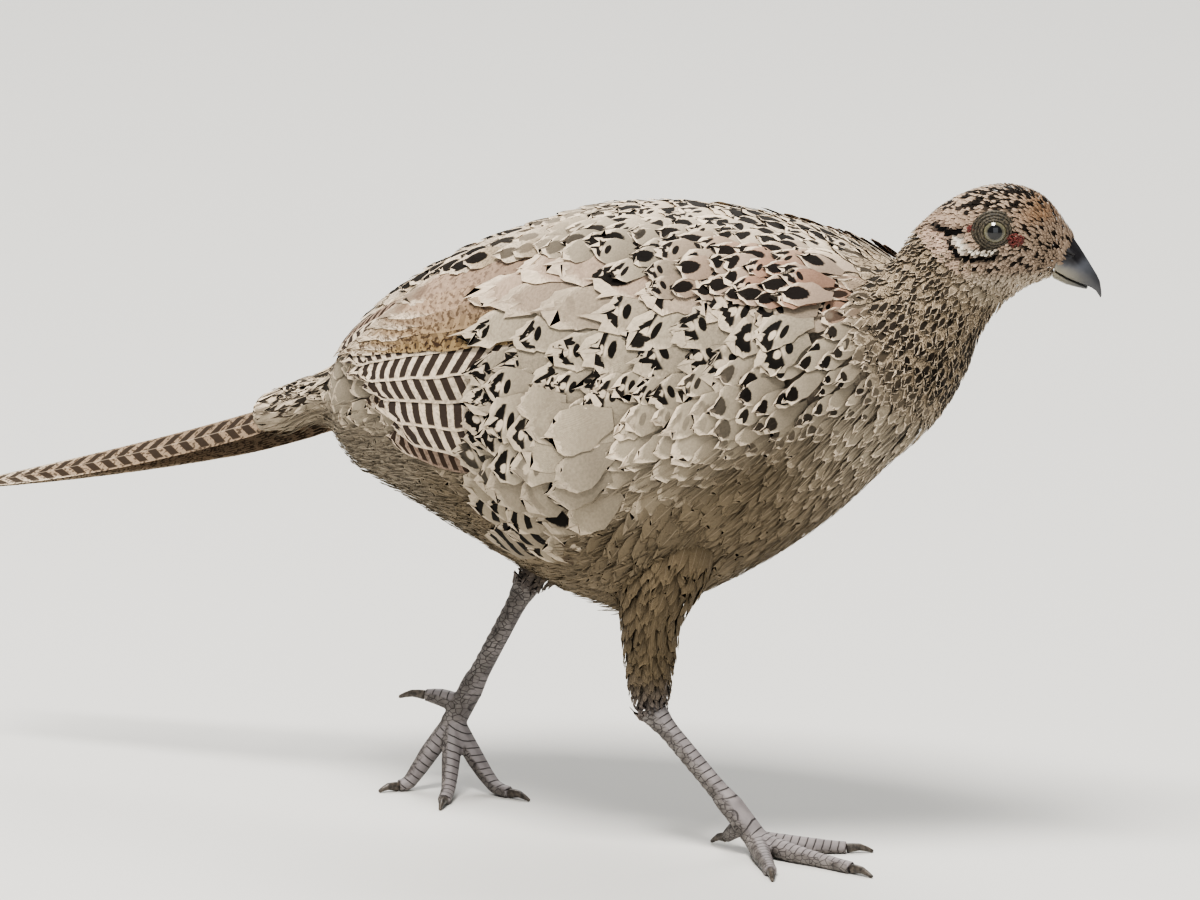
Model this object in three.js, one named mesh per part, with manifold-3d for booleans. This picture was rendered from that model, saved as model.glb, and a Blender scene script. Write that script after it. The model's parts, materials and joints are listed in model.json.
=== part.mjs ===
// A hen common pheasant in mid stride, life size, as a still museum model.
// Millimetres, +Z up. The bird faces +X, its left side is +Y, and it stands on the plane Z = 0.
import * as THREE from "three";
import { mergeVertices } from "three/addons/utils/BufferGeometryUtils.js";
import Module from "manifold-3d";

const wasm = await Module();
wasm.setup();

const GAP = 0.32; // air kept between two nodes that touch
const UP = new THREE.Vector3(0, 0, 1);

// The body from rump to bill base: where each section meets the back line and the belly line,
// and its half width. The neck and head are drawn looking straight ahead here.
const BODY = [
  // back x, z, belly x, z, half width
  [-104, 149, -104, 127, 11],
  [-91, 167, -89, 115, 24],
  [-73, 182, -66, 106, 35],
  [-50, 195.5, -44, 96, 43],
  [-22, 207, -20, 85, 48],
  [5, 215, 2, 78, 50],
  [35, 217.5, 28, 79, 50],
  [62, 216, 56, 92, 48],
  [85, 212, 83, 110, 44],
  [102, 207, 106, 130.5, 37],
  [111, 204.5, 126, 148, 29],
  [115, 205.5, 138, 165, 22],
  [117.5, 209, 145, 181, 17],
  [120.5, 214, 151.5, 190.5, 15],
  [126, 220, 157, 195.5, 14.8],
  [134, 226.5, 161.5, 198.5, 15],
  [145, 231.5, 165, 200, 14.5],
  [156, 232.5, 167.5, 201, 13],
  [166, 228.8, 168.5, 201.2, 10],
  [173.2, 220.5, 169.6, 202, 7],
];
const NECK_START = 10.4; // where the neck leaves the torso, counted along BODY
const HEAD_START = 14.3;
const BILL_START = BODY.length - 1;
const HEAD_TURN = 20; // degrees that the head looks to the left of the body
const TURN_X = 125; // the upright axis that it turns about
const BODY_SIDES = 28;
const TORSO_SIDES = 24;
const FLANK_SWELL = 0.08; // how far the side feathers swell below the wing

const degrees = THREE.MathUtils.degToRad;
const vec = (x, y, z) => new THREE.Vector3(x, y, z);
const mix = (a, b, t) => a + (b - a) * t;

// Values between rows of numbers, by a uniform Catmull-Rom curve. s counts the rows from 0.
function between(rows, s) {
  const last = rows.length - 1;
  const i = Math.min(Math.max(Math.floor(s), 0), last - 1);
  const t = s - i;
  const row = (k) => rows[Math.min(Math.max(k, 0), last)];
  const [a, b, c, d] = [row(i - 1), row(i), row(i + 1), row(i + 2)];
  const cubic = (p, q, r, u) =>
    q + 0.5 * t * (r - p + t * (2 * p - 5 * q + 4 * r - u + t * (3 * (q - r) + u - p)));
  return b.map((_, k) => cubic(a[k], b[k], c[k], d[k]));
}

const smooth = (x) => {
  const t = Math.min(Math.max(x, 0), 1);
  return t * t * (3 - 2 * t);
};

// Turns a point of the neck or head to the left; s says how far along the body it is.
function turned(point, s = BILL_START) {
  const angle = degrees(HEAD_TURN) * smooth((s - 9.5) / (HEAD_START - 9.5));
  return point.sub(vec(TURN_X, 0, 0)).applyAxisAngle(UP, angle).add(vec(TURN_X, 0, 0));
}

// The swelling of the flank feathers over the lower edge of the folded wing.
function flankSwell(s, angle) {
  const low = Math.exp(-(((Math.abs(angle) - 118) / 24) ** 2));
  return 1 + FLANK_SWELL * low * Math.exp(-(((s - 5.6) / 1.6) ** 2));
}

// A point of the plumage. angle is in degrees from the back line, + on the left side; lift moves
// it straight out of the section's outline.
function bodyPoint(s, angle, lift = 0) {
  const [backX, backZ, bellyX, bellyZ, halfWidth] = between(BODY, s);
  const up = vec((backX - bellyX) / 2, 0, (backZ - bellyZ) / 2);
  const half = up.length();
  const a = degrees(angle);
  const wide = halfWidth * flankSwell(s, angle);
  const out = new THREE.Vector2(Math.cos(a) / half, Math.sin(a) / wide).normalize();
  const point = vec((backX + bellyX) / 2, 0, (backZ + bellyZ) / 2);
  point.addScaledVector(up, Math.cos(a) + (out.x * lift) / half);
  point.y += wide * Math.sin(a) + out.y * lift;
  return turned(point, s);
}

// The closed surface over faces given as triples of points.
function meshOf(faces) {
  const position = faces.flatMap((face) => face.flatMap((p) => [p.x, p.y, p.z]));
  const loose = new THREE.BufferGeometry();
  loose.setAttribute("position", new THREE.Float32BufferAttribute(position, 3));
  return loose;
}

// A geometry as a solid with its faces pointing out.
function solid(geometry) {
  const bare = new THREE.BufferGeometry();
  bare.setAttribute("position", geometry.getAttribute("position").clone());
  if (geometry.index) bare.setIndex(geometry.index.clone());
  const merged = mergeVertices(bare, 1e-3);
  const index = merged.index.array;
  const kept = [];
  for (let i = 0; i < index.length; i += 3) {
    const [a, b, c] = [index[i], index[i + 1], index[i + 2]];
    if (a !== b && b !== c && c !== a) kept.push(a, b, c);
  }
  const build = (triangles) =>
    new wasm.Manifold(
      new wasm.Mesh({
        numProp: 3,
        vertProperties: new Float32Array(merged.getAttribute("position").array),
        triVerts: new Uint32Array(triangles),
      }),
    );
  const made = build(kept);
  return made.volume() < 0 ? build(kept.reverse()) : made;
}

// Closed loops of points, joined in order and capped at both ends.
function loft(loops) {
  const faces = [];
  loops.slice(1).forEach((next, i) => {
    const loop = loops[i];
    loop.forEach((p, j) => {
      const k = (j + 1) % loop.length;
      faces.push([p, loop[k], next[k]], [p, next[k], next[j]]);
    });
  });
  const middle = (loop) =>
    loop.reduce((sum, p) => sum.add(p), vec(0, 0, 0)).divideScalar(loop.length);
  const first = loops[0];
  const last = loops[loops.length - 1];
  const [start, end] = [middle(first), middle(last)];
  first.forEach((p, j) => faces.push([first[(j + 1) % first.length], p, start]));
  last.forEach((p, j) => faces.push([p, last[(j + 1) % last.length], end]));
  return solid(meshOf(faces));
}

// A thin plate between two grids of points, split into triangles alike on both faces.
function plate(top, bottom) {
  const rows = top.length - 1;
  const columns = top[0].length - 1;
  const faces = [];
  for (let i = 0; i < rows; i++)
    for (let j = 0; j < columns; j++)
      for (const [grid, flip] of [[top, false], [bottom, true]]) {
        const [a, b, c, d] = [grid[i][j], grid[i][j + 1], grid[i + 1][j + 1], grid[i + 1][j]];
        const pair = [[a, b, c], [a, c, d]];
        faces.push(...(flip ? pair.map((face) => face.reverse()) : pair));
      }
  const wall = (i, j, k, l) => {
    const [a, b, c, d] = [top[i][j], top[k][l], bottom[k][l], bottom[i][j]];
    faces.push([a, c, b], [a, d, c]);
  };
  for (let j = 0; j < columns; j++) {
    wall(0, j, 0, j + 1);
    wall(rows, j + 1, rows, j);
  }
  for (let i = 0; i < rows; i++) {
    wall(i + 1, 0, i, 0);
    wall(i, columns, i + 1, columns);
  }
  return solid(meshOf(faces));
}

// A stretch of the body between two stations, its ends cut square to it.
function bodyLength(from, to, rings, lift = 0, trim = GAP / 2, sides = BODY_SIDES) {
  const loops = [];
  for (let i = 0; i <= rings; i++) {
    const s = from + ((to - from) * i) / rings;
    const loop = [];
    for (let j = 0; j < sides; j++) loop.push(bodyPoint(s, (360 * j) / sides - 180, lift));
    loops.push(loop);
  }
  const cut = (loop, sense) => {
    const side = new THREE.Vector3().subVectors(loop[sides / 4], loop[0]);
    const normal = new THREE.Vector3().subVectors(loop[sides / 2], loop[0]).cross(side);
    loop.forEach((p) => p.addScaledVector(normal.normalize(), sense * trim));
  };
  cut(loops[0], 1);
  cut(loops[rings], -1);
  return loft(loops);
}

// A limb along a bent line. Each row gives a point, the half thickness fore and aft, and the half
// thickness across; across is the direction that the second one is measured in.
function limb(rows, { sides = 10, steps = 3, across = vec(0, 1, 0), grow = 0 } = {}) {
  const count = (rows.length - 1) * steps;
  const at = (i) => between(rows, i / steps);
  const loops = [];
  for (let i = 0; i <= count; i++) {
    const [x, y, z, deep, wide] = at(i);
    const ahead = vec(...at(Math.min(i + 1, count)).slice(0, 3));
    const behind = vec(...at(Math.max(i - 1, 0)).slice(0, 3));
    const along = ahead.sub(behind).normalize();
    const fore = new THREE.Vector3().crossVectors(across, along).normalize();
    const side = new THREE.Vector3().crossVectors(along, fore);
    const centre = vec(x, y, z);
    if (i === 0) centre.addScaledVector(along, -grow);
    if (i === count) centre.addScaledVector(along, grow);
    const loop = [];
    for (let j = 0; j < sides; j++) {
      const a = (2 * Math.PI * (j + 0.5)) / sides;
      const p = centre.clone().addScaledVector(fore, (deep + grow) * Math.cos(a));
      loop.push(p.addScaledVector(side, (wide + grow) * Math.sin(a)));
    }
    loops.push(loop);
  }
  return loft(loops);
}

// A solid as plain geometry, its largest piece only.
function geometryOf(made) {
  const largest = made.decompose().sort((a, b) => b.volume() - a.volume())[0];
  const mesh = largest.getMesh();
  const geometry = new THREE.BufferGeometry();
  geometry.setAttribute("position", new THREE.BufferAttribute(mesh.vertProperties, 3));
  geometry.setIndex(new THREE.BufferAttribute(mesh.triVerts, 1));
  return geometry;
}

const bird = new THREE.Group();

const FINISH = {
  plumage: { color: 0xb9a98c, roughness: 0.85 },
  wing: { color: 0xc2b49a, roughness: 0.8 },
  tail: { color: 0xa08a6a, roughness: 0.8 },
  horn: { color: 0x6d7078, roughness: 0.45 },
  eye: { color: 0x9a8f6a, roughness: 0.1 },
  scale: { color: 0x77736c, roughness: 0.6 },
  claw: { color: 0x3a3632, roughness: 0.4 },
};

function add(name, made, finish) {
  const material = new THREE.MeshStandardMaterial({ ...FINISH[finish], metalness: 0 });
  const mesh = new THREE.Mesh(geometryOf(made), material);
  mesh.name = name;
  bird.add(mesh);
}

const SIDES = [
  ["right", -1],
  ["left", 1],
];

// Torso and neck
const torso = bodyLength(0, NECK_START, 17, 0, GAP / 2, TORSO_SIDES);
const torsoRoom = bodyLength(0, NECK_START, 17, GAP, -GAP, TORSO_SIDES);

// Head: the skull and its feathers, with eye sockets, lids and the line of the mouth
const EYE = { x: 151.2, z: 218.5, y: 10.6, radius: 5.3 };
const LID = { ring: 4.5, thick: 1.0, y: 13.6 };
const MOUTH = { cornerX: 162.5, cornerZ: 205.4, height: 0.6, length: 14, fall: 11 };

function eyeBall(side, grow) {
  const ball = new THREE.SphereGeometry(EYE.radius + grow, 12, 8);
  const place = turned(vec(EYE.x, side * EYE.y, EYE.z));
  return solid(ball.translate(place.x, place.y, place.z));
}

function lid(side) {
  const ring = new THREE.TorusGeometry(LID.ring, LID.thick, 8, 20);
  ring.scale(1.12, 1, 1);
  ring.rotateX(Math.PI / 2);
  ring.rotateZ(degrees(-side * 12));
  ring.translate(EYE.x - TURN_X, side * LID.y, EYE.z);
  ring.rotateZ(degrees(HEAD_TURN)).translate(TURN_X, 0, 0);
  return solid(ring);
}

function mouthLine() {
  const slot = new THREE.BoxGeometry(MOUTH.length, 40, MOUTH.height);
  slot.translate(MOUTH.length / 2, 0, 0).rotateY(degrees(MOUTH.fall));
  slot.translate(MOUTH.cornerX - TURN_X, 0, MOUTH.cornerZ);
  slot.rotateZ(degrees(HEAD_TURN)).translate(TURN_X, 0, 0);
  return solid(slot);
}

let head = bodyLength(HEAD_START, BILL_START, 12);
for (const [, side] of SIDES) head = head.add(lid(side)).subtract(eyeBall(side, GAP));
head = head.subtract(mouthLine());

// Bill: each half runs along its own edge line, with an arch on one side of it
const UPPER_BILL = [
  // edge x, z, ridge x, z, half width
  [170.4, 205, 173, 218.6, 6],
  [174.4, 202.4, 176.4, 214.8, 5],
  [178.2, 200.6, 179.8, 209.8, 4],
  [181.4, 199.2, 182.8, 205, 2.9],
  [183.9, 197.6, 185.2, 200.7, 1.7],
  [185.4, 194.8, 185.9, 195.5, 0.5],
];
const LOWER_BILL = [
  [170.2, 204.4, 169.4, 201.3, 5.6],
  [174.2, 201.8, 173.8, 199.3, 4.6],
  [177.9, 200.1, 177.8, 198.3, 3.4],
  [181, 198.7, 181, 197.6, 1.5],
];
const BILL_ARCH = 6; // steps round the arch
const NOSTRIL = { x: 175.4, z: 209.8 };

function billHalf(rows, steps) {
  const loops = [];
  for (let i = 0; i <= (rows.length - 1) * steps; i++) {
    const [edgeX, edgeZ, ridgeX, ridgeZ, wide] = between(rows, i / steps);
    const loop = [];
    for (let j = 0; j <= BILL_ARCH; j++) {
      const a = Math.PI * (j / BILL_ARCH - 0.5);
      const rise = Math.cos(a) ** 0.8;
      const x = edgeX + (ridgeX - edgeX) * rise;
      const z = edgeZ + (ridgeZ - edgeZ) * rise;
      loop.push(turned(vec(x, wide * Math.sin(a), z)));
    }
    loops.push(loop);
  }
  return loft(loops);
}

function nostril(side) {
  const hole = new THREE.SphereGeometry(1, 8, 6).scale(2, 1.2, 0.7).rotateY(degrees(28));
  hole.translate(NOSTRIL.x - TURN_X, side * 5, NOSTRIL.z);
  return solid(hole.rotateZ(degrees(HEAD_TURN)).translate(TURN_X, 0, 0));
}

function nostrilFlap(side) {
  const flap = new THREE.SphereGeometry(1, 8, 6).scale(2.6, 0.9, 1.2).rotateY(degrees(28));
  flap.translate(NOSTRIL.x - TURN_X, side * 4.3, NOSTRIL.z + 1.4);
  return solid(flap.rotateZ(degrees(HEAD_TURN)).translate(TURN_X, 0, 0));
}

const headRoom = bodyLength(HEAD_START, BILL_START, 12, GAP, GAP / -2);
let upperBill = billHalf(UPPER_BILL, 2);
for (const [, side] of SIDES) upperBill = upperBill.add(nostrilFlap(side)).subtract(nostril(side));

// Legs. The right one is planted ahead; the left one is leaving the ground behind.
const THIGH = {
  right: [
    // x, y, z, half thickness fore and aft, half width
    [43, -27, 116, 21, 12],
    [41, -30.5, 97, 17.5, 12.5],
    [37.5, -30.5, 80, 11, 10],
    [35.5, -28, 66, 9, 8],
    [34.5, -26.3, 55, 7.6, 6.6],
    [34.5, -25.5, 47.6, 5.6, 5.2],
  ],
  left: [
    [12, 25, 116, 21, 12],
    [-4, 28.5, 102, 17.5, 12.5],
    [-20, 29, 92, 10.5, 9.5],
    [-33, 26.5, 82.5, 7.4, 6.8],
    [-42.2, 25.2, 75.4, 5.6, 5.2],
  ],
};
const SHANK = {
  right: { top: [34.5, -25.5, 47.2], foot: [65.2, -22.8, 15.5] },
  left: { top: [-42.5, 25, 75], foot: [-64.8, 22.6, 34] },
};
const SHANK_SIZE = { joint: 5.3, middle: 3.4, ball: 4.4, scutes: 10, step: 0.45, sides: 10 };

// The scaled lower leg: its front is stepped by one plate over the next.
function shank(side, grow = 0) {
  const top = vec(...SHANK[side].top);
  const along = vec(...SHANK[side].foot).sub(top);
  const length = along.length();
  along.normalize();
  const across = vec(0, 1, 0);
  const fore = new THREE.Vector3().crossVectors(along, across).normalize().negate();
  const width = new THREE.Vector3().crossVectors(fore, along);
  const loops = [];
  const ring = (t, step) => {
    const swell = Math.exp(-((t / 0.13) ** 2));
    const toe = Math.exp(-(((1 - t) / 0.12) ** 2));
    const { joint, middle, ball } = SHANK_SIZE;
    const radius = middle + (joint - middle) * swell + (ball - middle) * toe;
    const centre = top.clone().addScaledVector(along, t * length);
    const loop = [];
    for (let j = 0; j < SHANK_SIZE.sides; j++) {
      const a = (2 * Math.PI * (j + 0.5)) / SHANK_SIZE.sides;
      const front = Math.max(Math.cos(a), 0) * step;
      const p = centre.clone().addScaledVector(fore, (radius + front + grow) * Math.cos(a));
      loop.push(p.addScaledVector(width, (radius * 0.9 + front + grow) * Math.sin(a)));
    }
    loops.push(loop);
  };
  const { scutes, step } = SHANK_SIZE;
  ring((GAP - grow) / length, 0);
  for (let i = 0; i < scutes; i++) {
    ring(0.1 + (0.8 * i) / scutes, 0);
    ring(0.1 + (0.8 * (i + 0.82)) / scutes, step);
  }
  ring(1 + (grow - GAP) / length, 0);
  return loft(loops);
}

// Toes: where each one bends, from the ball of the foot to the root of its claw, its length of
// claw and where the claw's tip comes down.
const FEET = {
  right: {
    ball: [74.2, -22, 5],
    toes: {
      inner: {
        line: [[74, -21, 4.9], [84, -14, 3.1], [94, -7, 2.1], [98.5, -4, 1.7]],
        tip: [106, 1, 0.5],
      },
      middle: {
        line: [[75, -22, 5], [89, -25, 3], [103, -28, 2.3], [116, -31.5, 1.7]],
        tip: [125.5, -34.5, 0.5],
      },
      outer: {
        line: [[74, -23, 4.9], [82, -33, 3], [90, -43, 2.1], [94.5, -49, 1.7]],
        tip: [99.5, -56.5, 0.5],
      },
      hind: {
        line: [[70.5, -21.5, 10.5], [64.5, -19, 7.6], [59, -16.5, 3.6]],
        tip: [51.5, -13.5, 0.7],
      },
    },
  },
  left: {
    ball: [-70.8, 21.8, 23],
    toes: {
      inner: {
        line: [[-71.5, 20.8, 22], [-76.5, 14.8, 12.5], [-81, 9.2, 3], [-83.6, 6.2, 1.7]],
        tip: [-88, 0.6, 0.5],
      },
      middle: {
        line: [[-70.5, 21, 22], [-66.8, 13.2, 11.5], [-63, 4.9, 3], [-58.6, -5.4, 1.7]],
        tip: [-55, -14.2, 0.5],
      },
      outer: {
        line: [[-69.5, 21.8, 22], [-61, 19.8, 11.5], [-52, 17.6, 3], [-45, 15.9, 1.7]],
        tip: [-36, 13.7, 0.5],
      },
      hind: {
        line: [[-69.5, 22.3, 29.5], [-75.5, 21, 31.2], [-81, 20, 31.6]],
        tip: [-90.5, 18.6, 30.2],
      },
    },
  },
};
const TOE = { root: 3.5, end: 2.1, pad: 0.35, sides: 8 };
const CLAW = { root: 1.5, tip: 0.35, arch: 0.9, sides: 7 };
const FLOOR_DEPTH = 60;

function aboveFloor(made) {
  const below = new THREE.BoxGeometry(400, 200, FLOOR_DEPTH).translate(0, 0, -FLOOR_DEPTH / 2);
  return made.subtract(solid(below));
}

function toe(line) {
  const bends = line.length - 1;
  const rows = line.map(([x, y, z], i) => {
    const radius = TOE.root + ((TOE.end - TOE.root) * i) / bends + TOE.pad * (i % 2);
    return [x, y, z, radius, radius];
  });
  return limb(rows, { sides: TOE.sides, steps: 2, across: UP });
}

function claw(line, tip, grow = 0) {
  const end = vec(...line[line.length - 1]);
  const back = vec(...line[line.length - 2]);
  const way = end.clone().sub(back).normalize();
  const root = end.clone().addScaledVector(way, GAP);
  const point = vec(...tip);
  const middle = root.clone().lerp(point, 0.5).add(vec(0, 0, CLAW.arch));
  const row = (p, radius) => [p.x, p.y, p.z, radius * 0.85, radius];
  const { root: thick, tip: thin } = CLAW;
  const rows = [row(root, thick), row(middle, (thick + thin) / 1.8), row(point, thin)];
  return limb(rows, { sides: CLAW.sides, steps: 2, across: UP, grow });
}

// The foot starts above its ball, where the hind toe joins it.
function foot(name) {
  const { ball, toes } = FEET[name];
  const { foot: ankle } = SHANK[name];
  const neck = SHANK_SIZE.ball - 0.2;
  let made = solid(new THREE.SphereGeometry(SHANK_SIZE.ball, 12, 8).translate(...ball));
  made = made.add(limb([[...ankle, neck, neck], [...ball, neck, neck]], { steps: 1 }));
  for (const { line } of Object.values(toes)) made = made.add(toe(line));
  for (const { line, tip } of Object.values(toes)) made = made.subtract(claw(line, tip, GAP));
  return aboveFloor(made.subtract(shank(name, GAP)));
}

// Wing: the folded wing lies on the body between an upper and a lower edge line
const WING_EDGES = [
  // station along the body, upper angle, lower angle
  [0.35, 22, 58],
  [1.2, 18, 88],
  [2.2, 18, 102],
  [3.3, 19, 109],
  [4.5, 20, 105],
  [5.6, 21, 95],
  [6.8, 23, 87],
  [7.8, 27, 80],
  [8.7, 34, 72],
  [9.2, 44, 62],
];
const WING_CORE = { low: -0.6, edge: 1, high: 1.9, start: 2, rows: 10, columns: 7 };

// The plain form of the wing, out to its tip.
function wingCore(side, high) {
  const rows = WING_CORE.rows;
  const columns = WING_CORE.columns;
  const last = WING_EDGES.length - 1;
  const grid = (top) => {
    const points = [];
    for (let i = 0; i <= rows; i++) {
      const [s, upper, lower] = between(WING_EDGES, mix(WING_CORE.start, last, i / rows));
      const line = [];
      for (let j = 0; j <= columns; j++) {
        const q = j / columns;
        const swell = Math.sqrt(Math.sin(Math.PI * q) * Math.sin((Math.PI * (i + 0.6)) / (rows + 1.2)));
        const lift = top ? WING_CORE.edge + (high - WING_CORE.edge) * swell : WING_CORE.low;
        line.push(bodyPoint(s, side * (upper + (lower - upper) * q), lift));
      }
      points.push(line);
    }
    return points;
  };
  return plate(grid(true), grid(false));
}

// A feather's outline: half of its width, from 0 to 1, along its length t.
const blade = (t) => {
  const tip = 0.72;
  const rounded = t > tip ? Math.sqrt(Math.max(1 - ((t - tip) / (1 - tip)) ** 2, 0)) : 1;
  return (0.55 + 0.45 * smooth(t / 0.45)) * Math.max(rounded, 0.16);
};
const VANE_ROWS = [0, 0.42, 0.82, 1];
const LONG_ROWS = [0, 0.22, 0.44, 0.66, 0.86, 1];
const VANE_THICK = 0.5;

// One feather as a thin plate. at(t, q, lift) gives its points: t along it, q from -1 to 1 across.
function vane(at, { thick = VANE_THICK, rows = VANE_ROWS, across = [-1, 1] } = {}) {
  const grid = (drop) =>
    rows.map((t) => across.map((q) => at(t, q * blade(t), (q === 0 ? 0.15 : 0) - drop)));
  return plate(grid(0), grid(thick));
}

// The rows of wing feathers, from the flight feathers up to the shoulder. Each row has its
// count, its roots and tips as stations along the body and as shares of the way from the upper
// edge of the wing to the lower one, its feathers' half width, their lift at root and tip with
// the power it rises by, and how much higher the lower edge of a feather lies than its middle.
const WING_ROWS = [
  // the ends of the flight feathers that lie lowest
  {
    count: 3, root: [3, 3.1], tip: [0.4, 0.9], half: 6.5, lift: [1.5, 1.5, 1], roll: 0.3,
    from: [0.3, 0.55], to: [0.36, 0.64],
  },
  // inner flight feathers
  {
    count: 6, root: [4.75, 4.75], tip: [1.3, 2.4], half: 7.4, lift: [1.5, 3.4, 0.6], roll: 0.6,
    from: [0.24, 0.92], to: [0.2, 0.9],
  },
  // four rows of coverts
  {
    count: 5, root: [5.8, 5.8], tip: [4, 4.5], half: 7.2, lift: [1.5, 4.5, 1], roll: 0.6,
    from: [0.26, 0.91], to: [0.23, 0.9],
  },
  {
    count: 5, root: [6.8, 6.8], tip: [5.2, 5.6], half: 6.2, lift: [1.5, 4.5, 1], roll: 0.6,
    from: [0.28, 0.88], to: [0.25, 0.88],
  },
  {
    count: 4, root: [7.6, 7.6], tip: [6.3, 6.6], half: 6.2, lift: [1.5, 4.5, 1], roll: 0.6,
    from: [0.3, 0.85], to: [0.26, 0.87],
  },
  {
    count: 3, root: [8.5, 8.4], tip: [7.2, 7.4], half: 6.2, lift: [1.5, 4.4, 1], roll: 0.6,
    from: [0.34, 0.78], to: [0.28, 0.84],
  },
];
const SCAPULARS = {
  count: 4, root: [8.2, 4.9], tip: [6.4, 3.1], share: 0.06, half: 6, lift: [1.5, 4.2, 1], roll: 0.5,
};
const LONG_FEATHER = 55;
const MM = { station: 23, degree: 0.85 }; // mean length of one station and one degree on the wing

const random = (seed) => {
  const x = Math.sin(seed * 127.1 + 11.7) * 43758.5453;
  return x - Math.floor(x) - 0.5;
};

function wingVane(side, root, tip, { half, lift: [low, high, power], roll }, seed) {
  const [s0, a0] = root;
  const [s1, a1] = tip;
  const run = [(s1 - s0) * MM.station, (a1 - a0) * MM.degree];
  const length = Math.hypot(...run);
  const across = [run[1] / length, -run[0] / length];
  const wide = half * (1 + 0.1 * random(seed));
  return vane((t, q, lift) => {
    const s = mix(s0, s1, t) + (across[0] * wide * q) / MM.station;
    const angle = mix(a0, a1, t) + (across[1] * wide * q) / MM.degree;
    const curl = mix(low, high, t ** power) + roll * q * Math.min(t * 3, 1);
    return bodyPoint(s, side * angle, curl + lift);
  }, { rows: length > LONG_FEATHER ? LONG_ROWS : VANE_ROWS });
}

function wingAngle(s, share) {
  let row = 0;
  while (row < WING_EDGES.length - 2 && WING_EDGES[row + 1][0] < s) row++;
  const [s0, upper0, lower0] = WING_EDGES[row];
  const [s1, upper1, lower1] = WING_EDGES[row + 1];
  const t = Math.min(Math.max((s - s0) / (s1 - s0), 0), 1);
  return mix(mix(upper0, upper1, t), mix(lower0, lower1, t), share);
}

function wing(side) {
  let made = wingCore(side, WING_CORE.high).subtract(torsoRoom);
  WING_ROWS.forEach((row, r) => {
    for (let i = 0; i < row.count; i++) {
      const u = row.count > 1 ? i / (row.count - 1) : 0.5;
      const seed = 31 * r + i + (side > 0 ? 500 : 0);
      const s0 = mix(...row.root, u);
      const s1 = mix(...row.tip, u) + 0.12 * random(seed + 0.5);
      const root = [s0, wingAngle(s0, mix(...row.from, u))];
      const tip = [s1, wingAngle(s1, mix(...row.to, u))];
      made = made.add(wingVane(side, root, tip, row, seed));
    }
  });
  const { count, share } = SCAPULARS;
  for (let i = 0; i < count; i++) {
    const u = i / (count - 1);
    const [s0, s1] = [mix(...SCAPULARS.root, u), mix(...SCAPULARS.tip, u)];
    const root = [s0, wingAngle(s0, share + 0.03)];
    const tip = [s1, wingAngle(s1, share)];
    made = made.add(wingVane(side, root, tip, SCAPULARS, 900 + i * side));
  }
  return made.simplify(0.06);
}

// Tail: eighteen graduated feathers, closed into a narrow roof, over a root of small feathers
const TAIL_ROOT = [
  // x, y, z, half thickness, half width
  [-92, 0, 142, 10, 12],
  [-106, 0, 137.5, 9.5, 12],
  [-119, 0, 132.8, 6.5, 9.5],
  [-130, 0, 128.8, 2.5, 5],
];
const TAIL = { x: -102, z: 142.5, fall: 21.5, lift: 4, pairs: 9, roof: 38, apart: 0.98 };
const TAIL_FEATHER = { longest: 158, step: 13, width: 13, narrower: 0.75, thick: 0.62 };
const TAIL_ROWS = [0, 0.38, 0.75, 1];

function tailVane(side, k) {
  const { longest, step, width, narrower, thick } = TAIL_FEATHER;
  const length = longest - step * k + (k > 0 ? 6 : 0) + 1.5 * random(k + 7 * side);
  const wide = width - narrower * k;
  const roof = degrees(TAIL.roof);
  const inner = 0.45 + k * TAIL.apart * Math.tan(roof);
  return vane(
    (t, q, lift) => {
      const fall = degrees(TAIL.fall - (TAIL.lift * t * length) / longest);
      const along = vec(-Math.cos(fall), 0, -Math.sin(fall));
      const up = vec(-Math.sin(fall), 0, Math.cos(fall));
      const point = vec(TAIL.x, 0, TAIL.z).addScaledVector(along, t * length);
      const reach = inner + (wide * (1 - 0.55 * t ** 1.6) * (1 + q)) / 2;
      const depth = lift - k * TAIL.apart;
      point.y += side * (reach * Math.cos(roof) + depth * Math.sin(roof));
      return point.addScaledVector(up, depth * Math.cos(roof) - reach * Math.sin(roof));
    },
    { thick, rows: TAIL_ROWS, across: [-1, 0, 1] },
  );
}

function tail() {
  let made = limb(TAIL_ROOT, { sides: 10, steps: 1 });
  for (const [, side] of SIDES)
    for (let k = 0; k < TAIL.pairs; k++) made = made.add(tailVane(side, k));
  return made.subtract(torsoRoom);
}

add("torso", torso, "plumage");
add("neck", bodyLength(NECK_START, HEAD_START, 8), "plumage");
add("head", head, "plumage");
add("bill_upper", upperBill.subtract(headRoom), "horn");
add("bill_lower", billHalf(LOWER_BILL, 2).subtract(headRoom), "horn");
add("tail", tail(), "tail");
for (const [name, side] of SIDES) {
  add(`eye_${name}`, eyeBall(side, 0), "eye");
  add(`wing_${name}`, wing(side), "wing");
  const thigh = limb(THIGH[name], { sides: 12 }).subtract(torsoRoom);
  add(`thigh_${name}`, thigh.subtract(shank(name, GAP)), "plumage");
  add(`shank_${name}`, shank(name), "scale");
  add(`foot_${name}`, foot(name), "scale");
  for (const [toeName, { line, tip }] of Object.entries(FEET[name].toes))
    add(`claw_${toeName}_${name}`, claw(line, tip), "claw");
}

// The origin goes to the middle of the bird's extents, at floor level.
const extents = new THREE.Box3().setFromObject(bird);
const middle = extents.getCenter(vec(0, 0, 0));
for (const mesh of bird.children) mesh.geometry.translate(-middle.x, -middle.y, 0);

export default bird;
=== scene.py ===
"""A hen common pheasant in mid stride, life size, dressed feather by feather."""
import json
import logging
import math
from abc import ABC, abstractmethod
from collections.abc import Callable
from dataclasses import dataclass, field
from enum import Enum
from typing import ClassVar

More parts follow.
